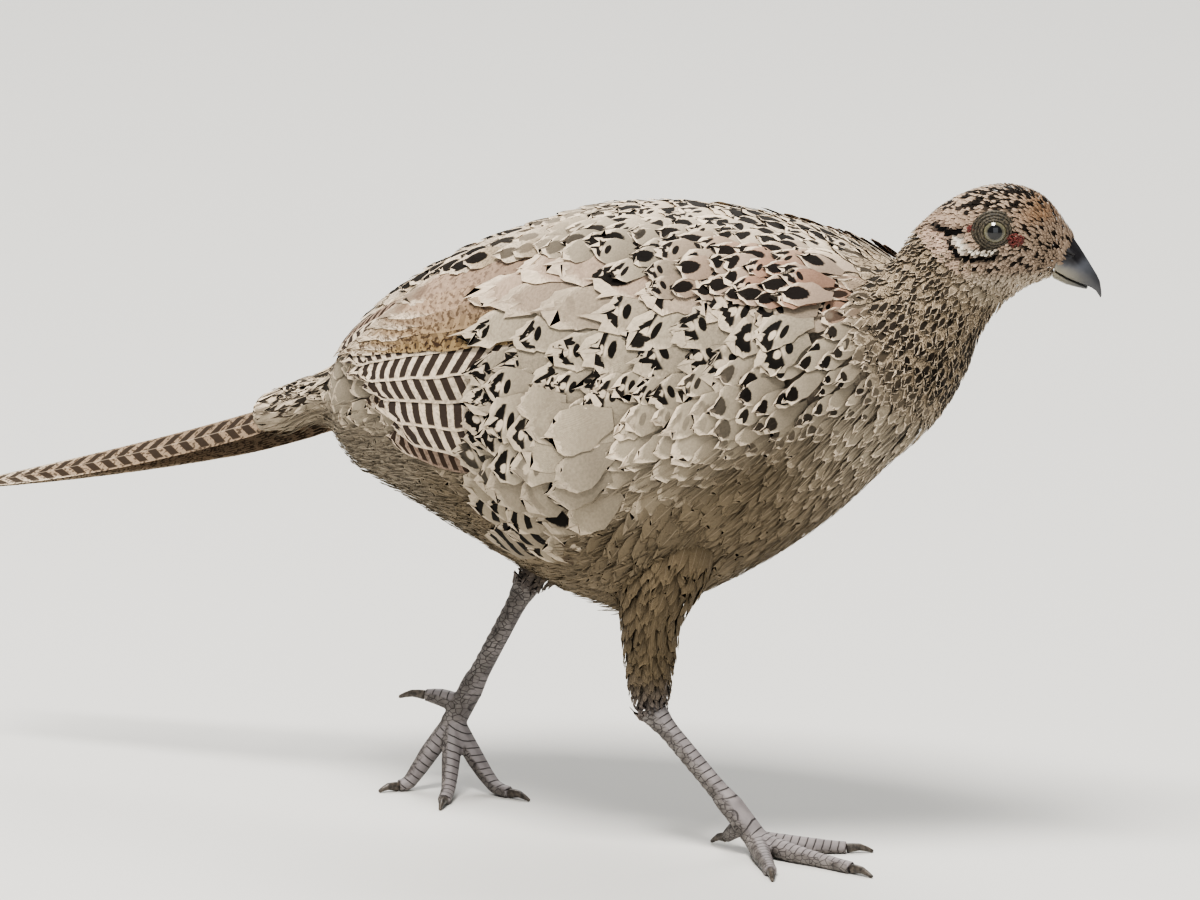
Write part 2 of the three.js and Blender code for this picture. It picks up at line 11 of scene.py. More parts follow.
import bmesh
import bpy
import numpy as np
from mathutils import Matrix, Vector

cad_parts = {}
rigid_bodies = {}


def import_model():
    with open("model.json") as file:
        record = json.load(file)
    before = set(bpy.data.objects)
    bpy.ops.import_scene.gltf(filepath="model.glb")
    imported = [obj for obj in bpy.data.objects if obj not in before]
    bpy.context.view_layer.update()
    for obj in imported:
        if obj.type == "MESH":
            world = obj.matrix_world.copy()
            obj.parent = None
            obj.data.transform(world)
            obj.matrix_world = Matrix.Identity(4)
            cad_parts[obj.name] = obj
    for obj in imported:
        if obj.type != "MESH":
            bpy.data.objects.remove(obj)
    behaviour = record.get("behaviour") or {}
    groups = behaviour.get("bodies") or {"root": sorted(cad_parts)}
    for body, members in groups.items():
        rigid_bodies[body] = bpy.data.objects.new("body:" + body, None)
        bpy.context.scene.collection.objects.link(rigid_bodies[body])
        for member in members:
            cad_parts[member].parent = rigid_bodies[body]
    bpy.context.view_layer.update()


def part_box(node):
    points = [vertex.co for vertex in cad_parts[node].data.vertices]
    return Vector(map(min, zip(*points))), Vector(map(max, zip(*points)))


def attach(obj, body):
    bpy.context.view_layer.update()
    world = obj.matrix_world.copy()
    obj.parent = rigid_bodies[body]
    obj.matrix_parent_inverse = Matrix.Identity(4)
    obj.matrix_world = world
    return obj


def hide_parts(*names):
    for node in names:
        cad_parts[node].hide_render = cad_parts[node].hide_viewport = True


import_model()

LOG = logging.getLogger("pheasant")
MM = 0.001
# Edges that turn more than this stay crisp.
SHARP_EDGE = math.radians(64)

Array = np.ndarray
Triple = tuple[float, float, float]
Gap = Callable[[Array, Array], Array]

# The body from rump to bill base: back x and z, belly x and z, and half width, in millimetres,
# with the neck looking straight ahead.
BODY = np.array([
    [-104, 149, -104, 127, 11], [-91, 167, -89, 115, 24], [-73, 182, -66, 106, 35],
    [-50, 195.5, -44, 96, 43], [-22, 207, -20, 85, 48], [5, 215, 2, 78, 50],
    [35, 217.5, 28, 79, 50], [62, 216, 56, 92, 48], [85, 212, 83, 110, 44],
    [102, 207, 106, 130.5, 37], [111, 204.5, 126, 148, 29], [115, 205.5, 138, 165, 22],
    [117.5, 209, 145, 181, 17], [120.5, 214, 151.5, 190.5, 15], [126, 220, 157, 195.5, 14.8],
    [134, 226.5, 161.5, 198.5, 15], [145, 231.5, 165, 200, 14.5], [156, 232.5, 167.5, 201, 13],
    [166, 228.8, 168.5, 201.2, 10], [173.2, 220.5, 169.6, 202, 7],
], dtype=float)
# How the rump narrows on to the tail, behind the first section.
RUMP = np.array([[-140, 133, -136, 122, 17], [-121, 141, -119, 124, 15]], dtype=float)
# The feathering runs on over the root of the bill.
BROW = np.array([[177.6, 214.0, 173.2, 201.0, 5.6]], dtype=float)
SECTIONS = np.vstack([RUMP, BODY, BROW])
# Stations count the rows of BODY: the last one, how far feathers go forward, and how far back.
BILL_ROOT = len(BODY) - 1.0
FEATHERED = BILL_ROOT + 0.8
LAST_STATION = -1.4
# The neck turns about an upright line at this x, by this many degrees to the left.
TURN_X = 125.0
HEAD_TURN = 20.0
# Middle of the left eye, looking straight ahead.
EYE = Vector((151.2, 10.6, 218.5))
# The folded wing: station, and degrees from the back line to its upper and lower edge.
WING_EDGES = np.array([
    [0.35, 22, 58], [1.2, 18, 88], [2.2, 18, 102], [3.3, 19, 109], [4.5, 20, 105],
    [5.6, 21, 95], [6.8, 23, 87], [7.8, 27, 80], [8.7, 34, 72], [9.2, 44, 62],
])


class Side(Enum):
    """The bird's right side, which the camera sees, and its left."""

    RIGHT = -1
    LEFT = 1


class Ink(Enum):
    """Colours of the plumage and the bare parts, linear."""

    CREAM = (0.76, 0.64, 0.50)
    BUFF = (0.42, 0.32, 0.21)
    GREY_BUFF = (0.355, 0.305, 0.235)
    PINK_BUFF = (0.45, 0.335, 0.26)
    CHESTNUT = (0.30, 0.14, 0.085)
    OCHRE = (0.34, 0.245, 0.135)
    # The belly's own olive-buff, darkened with painted shade of the underside.
    SHADED_BELLY = (0.175, 0.137, 0.088)
    VENT = (0.30, 0.255, 0.195)
    UMBER = (0.060, 0.036, 0.024)
    BLACK = (0.004, 0.0032, 0.003)
    WHITE = (0.72, 0.67, 0.58)
    GREY = (0.16, 0.14, 0.13)
    NECK = (0.42, 0.33, 0.23)
    FACE = (0.40, 0.30, 0.225)
    CROWN = (0.50, 0.385, 0.29)
    FOREHEAD = (0.33, 0.19, 0.10)
    LORE = (0.40, 0.30, 0.22)
    EAR = (0.52, 0.38, 0.30)
    CHEEK = (0.46, 0.36, 0.28)
    THROAT = (0.50, 0.43, 0.34)
    WING_BAR = (0.046, 0.032, 0.026)
    TAIL_BAR = (0.028, 0.018, 0.013)

    @property
    def rgb(self) -> Array:
        """The colour as an array."""
        return np.array(self.value)

    def rows(self, count: int, strength: float = 1.0) -> Array:
        """The colour once for each feather, lighter or darker by its strength."""
        return np.tile(self.rgb * strength, (count, 1))


def smooth(x: Array | float) -> Array:
    """Ease from 0 to 1.

    Args:
        x: Where along the ease, any size.

    Returns:
        The eased value, 0 to 1.
    """
    t = np.clip(x, 0, 1)
    return t * t * (3 - 2 * t)


def bump(x: Array, middle: float, half: float) -> Array:
    """A soft hill.

    Args:
        x: Where to read it.
        middle: Its middle.
        half: Its reach to either side.

    Returns:
        1 at the middle, falling to 0 with distance.
    """
    return np.exp(-(((x - middle) / half) ** 2))


def from_back(angle: Array) -> Array:
    """Degrees from the back line, 0 to 180, the same on both sides."""
    return np.abs((angle + 180) % 360 - 180)


def between(rows: Array, s: Array) -> Array:
    """Read a table of sections on a smooth curve.

    Args:
        rows: The sections, one a row.
        s: Where to read, counted in rows.

    Returns:
        One row for each place.
    """
    last = len(rows) - 1
    i = np.clip(np.floor(s).astype(int), 0, last - 1)
    t = (s - i)[..., None]
    p, q, n, u = (rows[np.clip(i + k, 0, last)] for k in (-1, 0, 1, 2))
    return q + 0.5 * t * (n - p + t * (2 * p - 5 * q + 4 * n - u + t * (3 * (q - n) + u - p)))


def lerp(a: Array, b: Array, t: Array) -> Array:
    """Mix two colours, or lists of colours.

    Args:
        a: The first.
        b: The second.
        t: Share of the second, one for each row.

    Returns:
        The mixed colours.
    """
    t = np.asarray(t, dtype=float)[..., None]
    return np.asarray(a) * (1 - t) + np.asarray(b) * t


def painted(base: Ink, layers: tuple[tuple[Ink, Array], ...], count: int) -> Array:
    """Lay colours over a base, one after another.

    Args:
        base: The colour below.
        layers: Each colour and its share on every feather.
        count: How many feathers.

    Returns:
        A colour for each feather.
    """
    ground = base.rows(count)
    for ink, share in layers:
        ground = lerp(ground, ink.rgb, share)
    return ground


class Surface(ABC):
    """A feathered surface, told by a station s along it and an angle round it.

    END is how far feathers reach forward, SPAN the station of its front end, STEP and ARC the
    distances over which it is measured, and LEAST the shortest pace along it.
    """

    END = SPAN = STEP = ARC = LEAST = 1.0

    @abstractmethod
    def point(self, s: Array, angle: Array, lift: Array) -> Array:
        """Places in millimetres, lifted out from the surface."""

    def pace(self, s: Array, angle: Array) -> tuple[Array, Array]:
        """How far one station and one degree reach, in millimetres.

        Args:
            s: Stations.
            angle: Degrees.

        Returns:
            Millimetres to a station, and to a degree.
        """
        zero = np.zeros_like(s)
        here = self.point(s, angle, zero)
        along = self.point(s + self.STEP, angle, zero) - here
        across = self.point(s, angle + self.ARC, zero) - here
        station = np.linalg.norm(along, axis=-1) / self.STEP
        degree = np.linalg.norm(across, axis=-1) / self.ARC
        return np.maximum(station, self.LEAST), np.maximum(degree, 0.03)


@dataclass
class BodyShape(Surface):
    """The outer surface of the plumage, told by a station s along the body and an angle."""

    shift: Array = field(default_factory=lambda: np.zeros(3))

    END, SPAN, STEP, ARC, LEAST = FEATHERED, BILL_ROOT, 0.05, 1.0, 1.2

    def __post_init__(self) -> None:
        """Find where the frame's origin lies, from the middle of an eye."""
        low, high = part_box("eye_right")
        middle = (np.array(low) + np.array(high)) / 2 / MM
        eye = self.turned(np.array([[EYE.x, -EYE.y, EYE.z]]), np.array([BILL_ROOT]))[0]
        self.shift = middle - eye

    def turned(self, points: Array, s: Array) -> Array:
        """Turn points of the neck and head to the left.

        Args:
            points: Places in millimetres, looking straight ahead.
            s: The station of each.

        Returns:
            The turned places.
        """
        angle = math.radians(HEAD_TURN) * smooth((s - 9.5) / 4.8)
        x, y, z = points[..., 0] - TURN_X, points[..., 1], points[..., 2]
        cos, sin = np.cos(angle), np.sin(angle)
        return np.stack([x * cos - y * sin + TURN_X, x * sin + y * cos, z], -1)

    def straight(self, s: Array, angle: Array, lift: Array) -> Array:
        """A place on the plumage with the neck straight.

        Args:
            s: Stations along the body.
            angle: Degrees round from the back, + on the left.
            lift: Millimetres out from the surface.

        Returns:
            Places in millimetres.
        """
        s, angle, lift = np.broadcast_arrays(s * 1.0, angle * 1.0, lift * 1.0)
        back_x, back_z, low_x, low_z, width = np.moveaxis(between(SECTIONS, s + len(RUMP)), -1, 0)
        up_x, up_z = (back_x - low_x) / 2, (back_z - low_z) / 2
        half = np.hypot(up_x, up_z)
        a = np.radians(angle)
        wide = width * (1 + 0.08 * bump(from_back(angle), 118, 24) * bump(s, 5.6, 1.6))
        out_up, out_side = np.cos(a) / half, np.sin(a) / wide
        size = np.hypot(out_up, out_side)
        k = np.cos(a) + out_up / size * lift / half
        y = wide * np.sin(a) + out_side / size * lift
        return np.stack([(back_x + low_x) / 2 + up_x * k, y, (back_z + low_z) / 2 + up_z * k], -1)

    def point(self, s: Array, angle: Array, lift: Array) -> Array:
        """A place on the plumage as the bird stands.

        Args:
            s: Stations along the body.
            angle: Degrees round from the back, + on the left.
            lift: Millimetres out from the surface.

        Returns:
            Places in millimetres, in the frame of the whole model.
        """
        places = self.straight(s, angle, lift)
        return self.turned(places, np.broadcast_to(s, places.shape[:-1])) + self.shift


@dataclass
class LimbShape(Surface):
    """A feathered upper leg, told by s, 1 at the hip and 0 at the ankle, and an angle."""

    rows: list[list[float]]
    shift: Array

    END, SPAN, STEP, ARC, LEAST = 1.2, 1.0, 0.02, 2.0, 5.0

    def point(self, s: Array, angle: Array, lift: Array) -> Array:
        """A place on the leg's plumage.

        Args:
            s: Places along it, 1 at the hip and 0 at the ankle.
            angle: Degrees round it, 0 in front.
            lift: Millimetres out from the surface.

        Returns:
            Places in millimetres, in the frame of the whole model.
        """
        rows = np.array(self.rows, dtype=float)
        s, angle, lift = np.broadcast_arrays(s * 1.0, angle * 1.0, lift * 1.0)
        along = (1 - s) * (len(rows) - 1)
        here = between(rows, along)
        way = between(rows, along + 0.05)[..., :3] - between(rows, along - 0.05)[..., :3]
        way /= np.linalg.norm(way, axis=-1, keepdims=True)
        across = np.zeros_like(way)
        across[..., 1] = 1
        fore = np.cross(across, way)
        fore /= np.linalg.norm(fore, axis=-1, keepdims=True)
        side = np.cross(way, fore)
        a = np.radians(angle)
        deep = (here[..., 3] + lift) * np.cos(a)
        wide = (here[..., 4] + lift) * np.sin(a)
        return here[..., :3] + fore * deep[..., None] + side * wide[..., None] + self.shift


class Wire:
    """A shader socket that takes part in Python arithmetic."""

    def __init__(self, tree: bpy.types.NodeTree, socket: bpy.types.NodeSocket) -> None:
        """Hold a socket and the tree that it is in."""
        self.tree = tree
        self.socket = socket

    def _math(self, operation: str, *values: "Wire | float") -> "Wire":
        """Add one Math node.

        Args:
            operation: The node's operation.
            values: What goes in.

        Returns:
            What comes out.
        """
        node = self.tree.nodes.new("ShaderNodeMath")
        node.operation = operation
        for slot, value in zip(node.inputs, values):
            if isinstance(value, Wire):
                self.tree.links.new(value.socket, slot)
            else:
                slot.default_value = value
        return Wire(self.tree, node.outputs[0])

    def __add__(self, other: "Wire | float") -> "Wire":
        """self + other."""
        return self._math("ADD", self, other)

    __radd__ = __add__

    def __sub__(self, other: "Wire | float") -> "Wire":
        """self - other."""
        return self._math("SUBTRACT", self, other)

    def __rsub__(self, other: float) -> "Wire":
        """other - self."""
        return self._math("SUBTRACT", other, self)

    def __mul__(self, other: "Wire | float") -> "Wire":
        """self * other."""
        return self._math("MULTIPLY", self, other)

    __rmul__ = __mul__

    def __truediv__(self, other: "Wire | float") -> "Wire":
        """self / other."""
        return self._math("DIVIDE", self, other)

    def __rtruediv__(self, other: float) -> "Wire":
        """other / self."""
        return self._math("DIVIDE", other, self)

    def __pow__(self, other: float) -> "Wire":
        """self to a power."""
        return self._math("POWER", self, other)

    def __abs__(self) -> "Wire":
        """Without its sign."""
        return self._math("ABSOLUTE", self)

    def sine(self) -> "Wire":
        """Its sine."""
        return self._math("SINE", self)

    def least(self, other: "Wire | float") -> "Wire":
        """The lesser of two."""
        return self._math("MINIMUM", self, other)

    def most(self, other: "Wire | float") -> "Wire":
        """The greater of two."""
        return self._math("MAXIMUM", self, other)

    def ease(self, low: float, high: float) -> "Wire":
        """Rise smoothly from 0 to 1.

        Args:
            low: Where it starts.
            high: Where it ends, which may be below low.

        Returns:
            The eased value.
        """
        node = self.tree.nodes.new("ShaderNodeMapRange")
        node.interpolation_type = "SMOOTHSTEP"
        falls = high < low
        node.inputs["From Min"].default_value = min(low, high)
        node.inputs["From Max"].default_value = max(low, high)
        node.inputs["To Min"].default_value = 1.0 if falls else 0.0
        node.inputs["To Max"].default_value = 0.0 if falls else 1.0
        self.tree.links.new(self.socket, node.inputs["Value"])
        return Wire(self.tree, node.outputs["Result"])


class Shader:
    """One material under construction."""

    def __init__(self, name: str, roughness: float, **constants: float) -> None:
        """Start a material.

        Args:
            name: The material's name.
            roughness: How matt it is.
            constants: Values set on the shader's own sockets, named with underscores.
        """
        self.material = bpy.data.materials.new(name)
        self.material.use_nodes = True
        self.tree = self.material.node_tree
        self.surface = self.tree.nodes["Principled BSDF"]
        self.surface.inputs["Roughness"].default_value = roughness
        for key, value in constants.items():
            self.surface.inputs[key.replace("_", " ")].default_value = value

    def node(
        self, kind: str, settings: dict | None = None, out: str | int = 0, **values: object
    ) -> Wire:
        """Add any other node.

        Args:
            kind: The node's type.
            settings: Its own settings, or a ramp's stops under "stops".
            out: Which output to hand back.
            values: Values or wires for its sockets; inN stands for socket number N.

        Returns:
            The output asked for.
        """
        made = self.tree.nodes.new(kind)
        for key, value in (settings or {}).items():
            if key == "stops":
                self._stops(made.color_ramp, value)
            else:
                setattr(made, key, value)
        for key, value in values.items():
            slot = made.inputs[int(key[2:])] if key[:2] == "in" and key[2:].isdigit() else (
                made.inputs[key.replace("_", " ")]
            )
            if isinstance(value, Wire):
                self.tree.links.new(value.socket, slot)
            else:
                slot.default_value = value
        return Wire(self.tree, made.outputs[out])

    @staticmethod
    def _stops(ramp: bpy.types.ColorRamp, stops: list[tuple[float, tuple]]) -> None:
        """Set a ramp's stops.

        Args:
            ramp: The ramp.
            stops: Place and colour of each.
        """
        while len(ramp.elements) < len(stops):
            ramp.elements.new(1.0)
        for element, (place, colour) in zip(ramp.elements, stops):
            element.position = place
            element.color = (*colour, 1.0)

    def here(self) -> Wire:
        """The object's own coordinates, in metres."""
        return self.node("ShaderNodeTexCoord", out="Object")

    def split(self, vector: Wire) -> tuple[Wire, ...]:
        """The three numbers of a vector."""
        made = self.node("ShaderNodeSeparateXYZ", Vector=vector).socket.node
        return tuple(Wire(self.tree, output) for output in made.outputs)

    def vector(self, operation: str, **values: object) -> Wire:
        """Add one Vector Math node.

        Args:
            operation: The node's operation.
            values: What goes in, as in0 and in1.

        Returns:
            A number for a length or a dot product, and otherwise a vector.
        """
        out = "Value" if operation in ("DOT_PRODUCT", "LENGTH") else "Vector"
        return self.node("ShaderNodeVectorMath", {"operation": operation}, out, **values)

    def attribute(self, name: str, out: str = "Fac") -> Wire:
        """Read a mesh attribute."""
        return self.node("ShaderNodeAttribute", {"attribute_name": name}, out)

    def noise(self, scale: float, detail: float = 3.0, where: Wire | None = None) -> Wire:
        """Noise from 0 to 1.

        Args:
            scale: Cells to a metre, or to a unit of where.
            detail: Its layers.
            where: Coordinates, the object's own when left out.

        Returns:
            The noise value.
        """
        where = where or self.here()
        return self.node("ShaderNodeTexNoise", Vector=where, Scale=scale, Detail=detail)

    def mix(self, share: Wire | float, a: object, b: object, blend: str = "MIX") -> Wire:
        """Mix two colours.

        Args:
            share: Share of the second.
            a: The first colour, a wire or three numbers.
            b: The second.
            blend: The blend type.

        Returns:
            The mixed colour.
        """
        a, b = ((*c, 1.0) if isinstance(c, (tuple, list)) else c for c in (a, b))
        settings = {"data_type": "RGBA", "blend_type": blend}
        return self.node("ShaderNodeMix", settings, 2, in0=share, in6=a, in7=b)

    def feed(self, socket: str, wire: Wire) -> None:
        """Join a wire to the shader."""
        self.tree.links.new(wire.socket, self.surface.inputs[socket])

    def relief(self, height: Wire, strength: float, distance: float) -> None:
        """Give the surface a fine relief.

        Args:
            height: The height, 0 to 1.
            strength: Its strength.
            distance: The height of 1, in metres.
        """
        bumped = self.node("ShaderNodeBump", Height=height, Strength=strength, Distance=distance)
        self.feed("Normal", bumped)


@dataclass(frozen=True)
class FeatherFinish:
    """Feathers with their markings and painted shade at each root, laid out on each feather's own
    UV map.

    The mesh gives each feather's ground colour, tip colour and the strength of every mark.
    """

    name: str = "feathers"
    roughness: float = 0.62

    def make(self) -> bpy.types.Material:
        """Build the material.

        Returns:
            The material.
        """
        shader = Shader(self.name, self.roughness, Sheen_Weight=0.04, Sheen_Roughness=0.4)
        shader.surface.inputs["Specular IOR Level"].default_value = 0.14
        uv = shader.node("ShaderNodeUVMap", {"uv_map": "Feather"}, "UV")
        across, along, _ = shader.split(uv)
        across = (across * 2.0) - 1.0
        luck = shader.attribute("luck")
        side = abs(across)
        tall = (along - 1.0) * shader.attribute("aspect") + shader.attribute("heart")
        cells = shader.node("ShaderNodeCombineXYZ", X=across, Y=tall, Z=luck * 40.0)
        wobble = shader.noise(1.7, 2.0, cells) - 0.5
        fine = shader.noise(7.0, 2.0, cells) - 0.5
        ragged = wobble * 0.34 + fine * 0.20
        x = across + luck * 0.35
        y = tall + across * luck * 1.1
        dark = self._dark(shader, x, y, side, ragged, luck)
        freckle = shader.noise(5.0, 3.0, cells).ease(0.50, 0.60) * shader.attribute("freckle")
        dark = dark.most(freckle).least(1.0)
        ground = shader.attribute("ground", "Color")
        fringe = shader.attribute("fringe", "Color")
        rim = (along + (side ** 2.0) * 0.20 + fine * 0.12).ease(0.80, 0.97)
        colour = shader.mix(rim * 0.85, ground, fringe)
        inside = self._oval(x, y + 0.05, 0.45, 0.40, ragged).ease(1.1, 0.6)
        colour = shader.mix(inside * shader.attribute("crescent") * 0.6, colour, Ink.CREAM.value)
        # Painted shade: each vane darkens towards its root, where the feather above would shade it,
        # times a random tone for each feather and place.
        shade = (0.80 + along.ease(0.30, 0.72) * 0.20) * (1.0 + fine * 0.45 + luck * 0.24)
        tone = shader.node("ShaderNodeCombineXYZ", X=shade, Y=shade, Z=shade)
        colour = shader.mix(1.0, colour, tone, "MULTIPLY")
        colour = shader.mix(dark * 0.97, colour, shader.attribute("ink", "Color"))
        shaft = side.ease(0.06, 0.02) * shader.attribute("shaft")
        colour = shader.mix(shaft * 0.5, colour, Ink.CREAM.value)
        shader.feed("Base Color", colour)
        barbs = ((along * 1.6 - side) * 85.0).sine() * 0.5 + 0.5
        shader.relief(barbs * 0.6 + side.ease(0.10, 0.0) * 0.5, 0.30, 0.0002)
        return shader.material

    @staticmethod
    def _oval(x: Wire, y: Wire, wide: float, tall: float, ragged: Wire) -> Wire:
        """How far out a place is in an oval with a ragged rim.

        Args:
            x: Place across, in half widths of the feather.
            y: Place along, in half widths.
            wide: The oval's reach across.
            tall: Its reach along.
            ragged: The unevenness of its rim.

        Returns:
            0 in the middle and 1 on the rim.
        """
        return ((x / wide) ** 2.0 + (y / tall) ** 2.0) ** 0.5 + ragged

    def _dark(
        self, shader: Shader, x: Wire, y: Wire, side: Wire, ragged: Wire, luck: Wire
    ) -> Wire:
        """All the dark marks, each by its own strength.

        Args:
            shader: The material under way.
            x: Place across, in half widths of the feather.
            y: Place along, in half widths, from the middle of what shows.
            side: Distance from the shaft.
            ragged: The unevenness of the marks.
            luck: A random number for each feather.

        Returns:
            How dark the place is, from 0 to 1.
        """
        ring = self._oval(x, y, 0.72, 0.60, ragged)
        arc = ring.ease(0.26, 0.40) * ring.ease(1.14, 1.0) * (y + ragged * 0.3).ease(-0.28, -0.12)
        core = self._oval(x, y + 0.62, 0.36, 0.20, ragged).ease(1.15, 0.9)
        marks = {
            "crescent": arc.most(core),
            "streak": self._oval(x, y + 0.1, 0.58, 1.15, ragged).ease(1.15, 0.95),
            "spot": self._oval(x, y, 0.70, 0.54, ragged).ease(1.15, 0.95),
            "pair": (
                (y * 6.2 + x * x * 2.2 + ragged * 1.6).sine().ease(0.0, 0.4)
                * side.ease(0.74, 0.62)
                * y.ease(0.62, 0.5)
            ),
            "bars": (
                (y * shader.attribute("pitch") + side * shader.attribute("slant") * 6.0
                 + ragged * 2.0 + luck * 5.0).sine().ease(-0.3, 0.05)
                * side.ease(0.92, 0.80)
            ),
        }
        dark = None
        for name, mark in marks.items():
            wire = mark * shader.attribute(name)
            dark = wire if dark is None else dark.most(wire)
        return dark


@dataclass
class Marks:
    """What each feather of a batch looks like; arrays hold one value for each feather."""

    ground: Array
    fringe: Array
    ink: Array
    strengths: dict[str, Array | float] = field(default_factory=dict)

    KINDS: ClassVar[tuple[str, ...]] = (
        "crescent", "streak", "spot", "pair", "bars", "freckle", "slant", "pitch", "shaft",
    )

    def pick(self, rows: Array) -> "Marks":
        """The marks of some of the feathers."""
        chosen = {key: value[rows] for key, value in self.strengths.items()}
        return Marks(self.ground[rows], self.fringe[rows], self.ink[rows], chosen)


@dataclass
class Feathers:
    """A batch of feathers lying on a shape.

    The arrays hold one value for each feather; drift is in radians from straight back, and the
    lengths are in millimetres. A vane reaches its whole width at full and rounds off after
    round_from. root_share and tip_width are its width at both ends, cup the fall to its sides,
    power how its lift grows, ragged the wear of its rim, heart the middle of its marks in half
    widths from the tip, and layers how much neighbours differ in lift.
    """

    s: Array
    angle: Array
    length: Array
    width: Array
    root_lift: Array
    tip_lift: Array
    drift: Array
    roll: Array
    marks: Marks
    columns: int = 9
    rows: int = 9
    thick: float = 0.16
    full: float = 0.5
    round_from: float = 0.55
    root_share: float = 0.45
    tip_width: float = 0.10
    cup: float = 0.05
    power: float = 0.8
    ragged: float = 0.07
    heart: float = 0.75
    layers: float = 0.5


class FeatherMesh:
    """Turns batches of feathers into one mesh of closed vanes."""

    def __init__(self, shape: Surface, seed: int) -> None:
        """Hold the shape that the feathers lie on.

        Args:
            shape: The surface.
            seed: Start of the random numbers.
        """
        self.shape = shape
        self.random = np.random.default_rng(seed)
        self.co: list[Array] = []
        self.quads: list[Array] = []
        self.uv: list[Array] = []
        self.place: list[Array] = []
        self.colours: dict[str, list[Array]] = {"ground": [], "fringe": [], "ink": []}
        kinds = (*Marks.KINDS, "luck", "aspect", "heart")
        self.values: dict[str, list[Array]] = {kind: [] for kind in kinds}
        self.total = 0

    @staticmethod
    def template(columns: int, rows: int) -> tuple[Array, Array, Array, Array]:
        """The grid of one closed vane.

        Args:
            columns: Points across.
            rows: Points along.

        Returns:
            Points across, along, which lie on the underside, and the faces.
        """
        u, v = np.meshgrid(np.linspace(-1, 1, columns), np.linspace(0, 1, rows) ** 0.85)
        top = np.arange(rows * columns).reshape(rows, columns)
        under = top.copy()
        inner = top[1:-1, 1:-1]
        under[1:-1, 1:-1] = rows * columns + np.arange(inner.size).reshape(inner.shape)

        def faces(grid: Array) -> Array:
            """Quads of a grid of point numbers."""
            corners = (grid[:-1, :-1], grid[:-1, 1:], grid[1:, 1:], grid[1:, :-1])
            return np.stack(corners, -1).reshape(-1, 4)

        quads = np.concatenate([faces(top), faces(under)[:, ::-1]])
        across = np.concatenate([u.ravel(), u[1:-1, 1:-1].ravel()])
        along = np.concatenate([v.ravel(), v[1:-1, 1:-1].ravel()])
        below = np.concatenate([np.zeros(u.size), np.ones(inner.size)])
        return across, along, below, quads

    def add(self, batch: Feathers) -> None:
        """Add a batch.

        Args:
            batch: The feathers.
        """
        vane = self.template(batch.columns, batch.rows)
        points = self._points(batch, *vane[:3])
        home = np.stack([
            ((batch.angle + 180) % 360) / 380 + 0.02,
            batch.s / self.shape.SPAN * 0.93 + 0.04,
        ], -1)
        patch = np.stack([vane[0] * 0.0014, vane[1] * 0.003], -1)
        values = {
            "luck": self.random.random(len(batch.s)) - 0.5,
            "aspect": batch.length / batch.width * 2,
            "heart": batch.heart,
            **batch.marks.strengths,
        }
        colours = {key: getattr(batch.marks, key) for key in self.colours}
        self.put(points, vane, home[:, None] + patch[None], colours, values)

    def put(
        self, points: Array, vane: tuple[Array, ...], place: Array, colours: dict[str, Array],
        values: dict[str, Array | float],
    ) -> None:
        """Put bent vanes into the mesh.

        Args:
            points: Places in millimetres, one row of them for each feather.
            vane: What template gave.
            place: Places on the baked map, in the same rows.
            colours: Colours by name, one for all or one for each feather.
            values: Strengths by name, likewise.
        """
        u, v, _, quads = vane
        count = len(points)
        self.co.append(points.reshape(-1, 3))
        flip = self._inward(points, quads)
        faces = quads[None] + (np.arange(count) * len(u))[:, None, None] + self.total
        faces[flip] = faces[flip][:, :, ::-1]
        self.quads.append(faces.reshape(-1, 4))
        self.uv.append(np.tile(np.stack([(u + 1) / 2, v], -1), (count, 1)))
        self.place.append(place.reshape(-1, 2))
        for key, colour in colours.items():
            rows = np.broadcast_to(colour, (count, 3))
            self.colours[key].append(np.repeat(rows, len(u), axis=0))
        for key in self.values:
            value = np.broadcast_to(values.get(key, 0.0), (count,))
            self.values[key].append(np.repeat(value, len(u)))
        self.total += count * len(u)

    def _points(self, batch: Feathers, u: Array, v: Array, below: Array) -> Array:
        """Bend the vanes of a batch over the shape.

        Args:
            batch: The feathers.
            u: Points across a vane.
            v: Points along it.
            below: Which are on the underside.

        Returns:
            Places in millimetres, one row of them for each feather.
        """
        count = len(batch.s)
        station, degree = self.shape.pace(batch.s, batch.angle)
        station, degree = station[:, None], degree[:, None]
        rise = batch.root_share + (1 - batch.root_share) * smooth(v / batch.full)
        late = np.clip((v - batch.round_from) / (1 - batch.round_from), 0, 1)
        blade = rise * np.maximum(np.sqrt(1 - late**2), batch.tip_width)
        chance = self.random.standard_normal((2, count, len(u))) * batch.ragged
        tear = 1 + chance[0] * (np.abs(u) > 0.9)
        run = batch.length[:, None] * v * (1 + 0.7 * chance[1] * (v > 0.8) - 0.10 * v**3 * u**2)
        aside = 0.5 * batch.width[:, None] * u * blade * tear
        turn = batch.drift[:, None]
        back = run * np.cos(turn) - aside * np.sin(turn)
        round_ = run * np.sin(turn) + aside * np.cos(turn)
        s = batch.s[:, None] - back / station
        angle = batch.angle[:, None] + round_ / degree
        climb = (batch.tip_lift - batch.root_lift)[:, None]
        lift = batch.root_lift[:, None] + climb * v**batch.power
        lift = lift - batch.cup * batch.width[:, None] * 0.25 * u**2 * blade
        lift = lift + batch.roll[:, None] * u * np.minimum(v * 3, 1)
        middle = (1 - u**2) * np.minimum(v * 4, 1) * (1 - v**3)
        lift = lift + batch.thick * (0.5 - below) * middle
        lift = lift + batch.layers * (self.random.random((count, 1)) - 0.5)
        return self.shape.point(np.clip(s, LAST_STATION, self.shape.END), angle, lift)

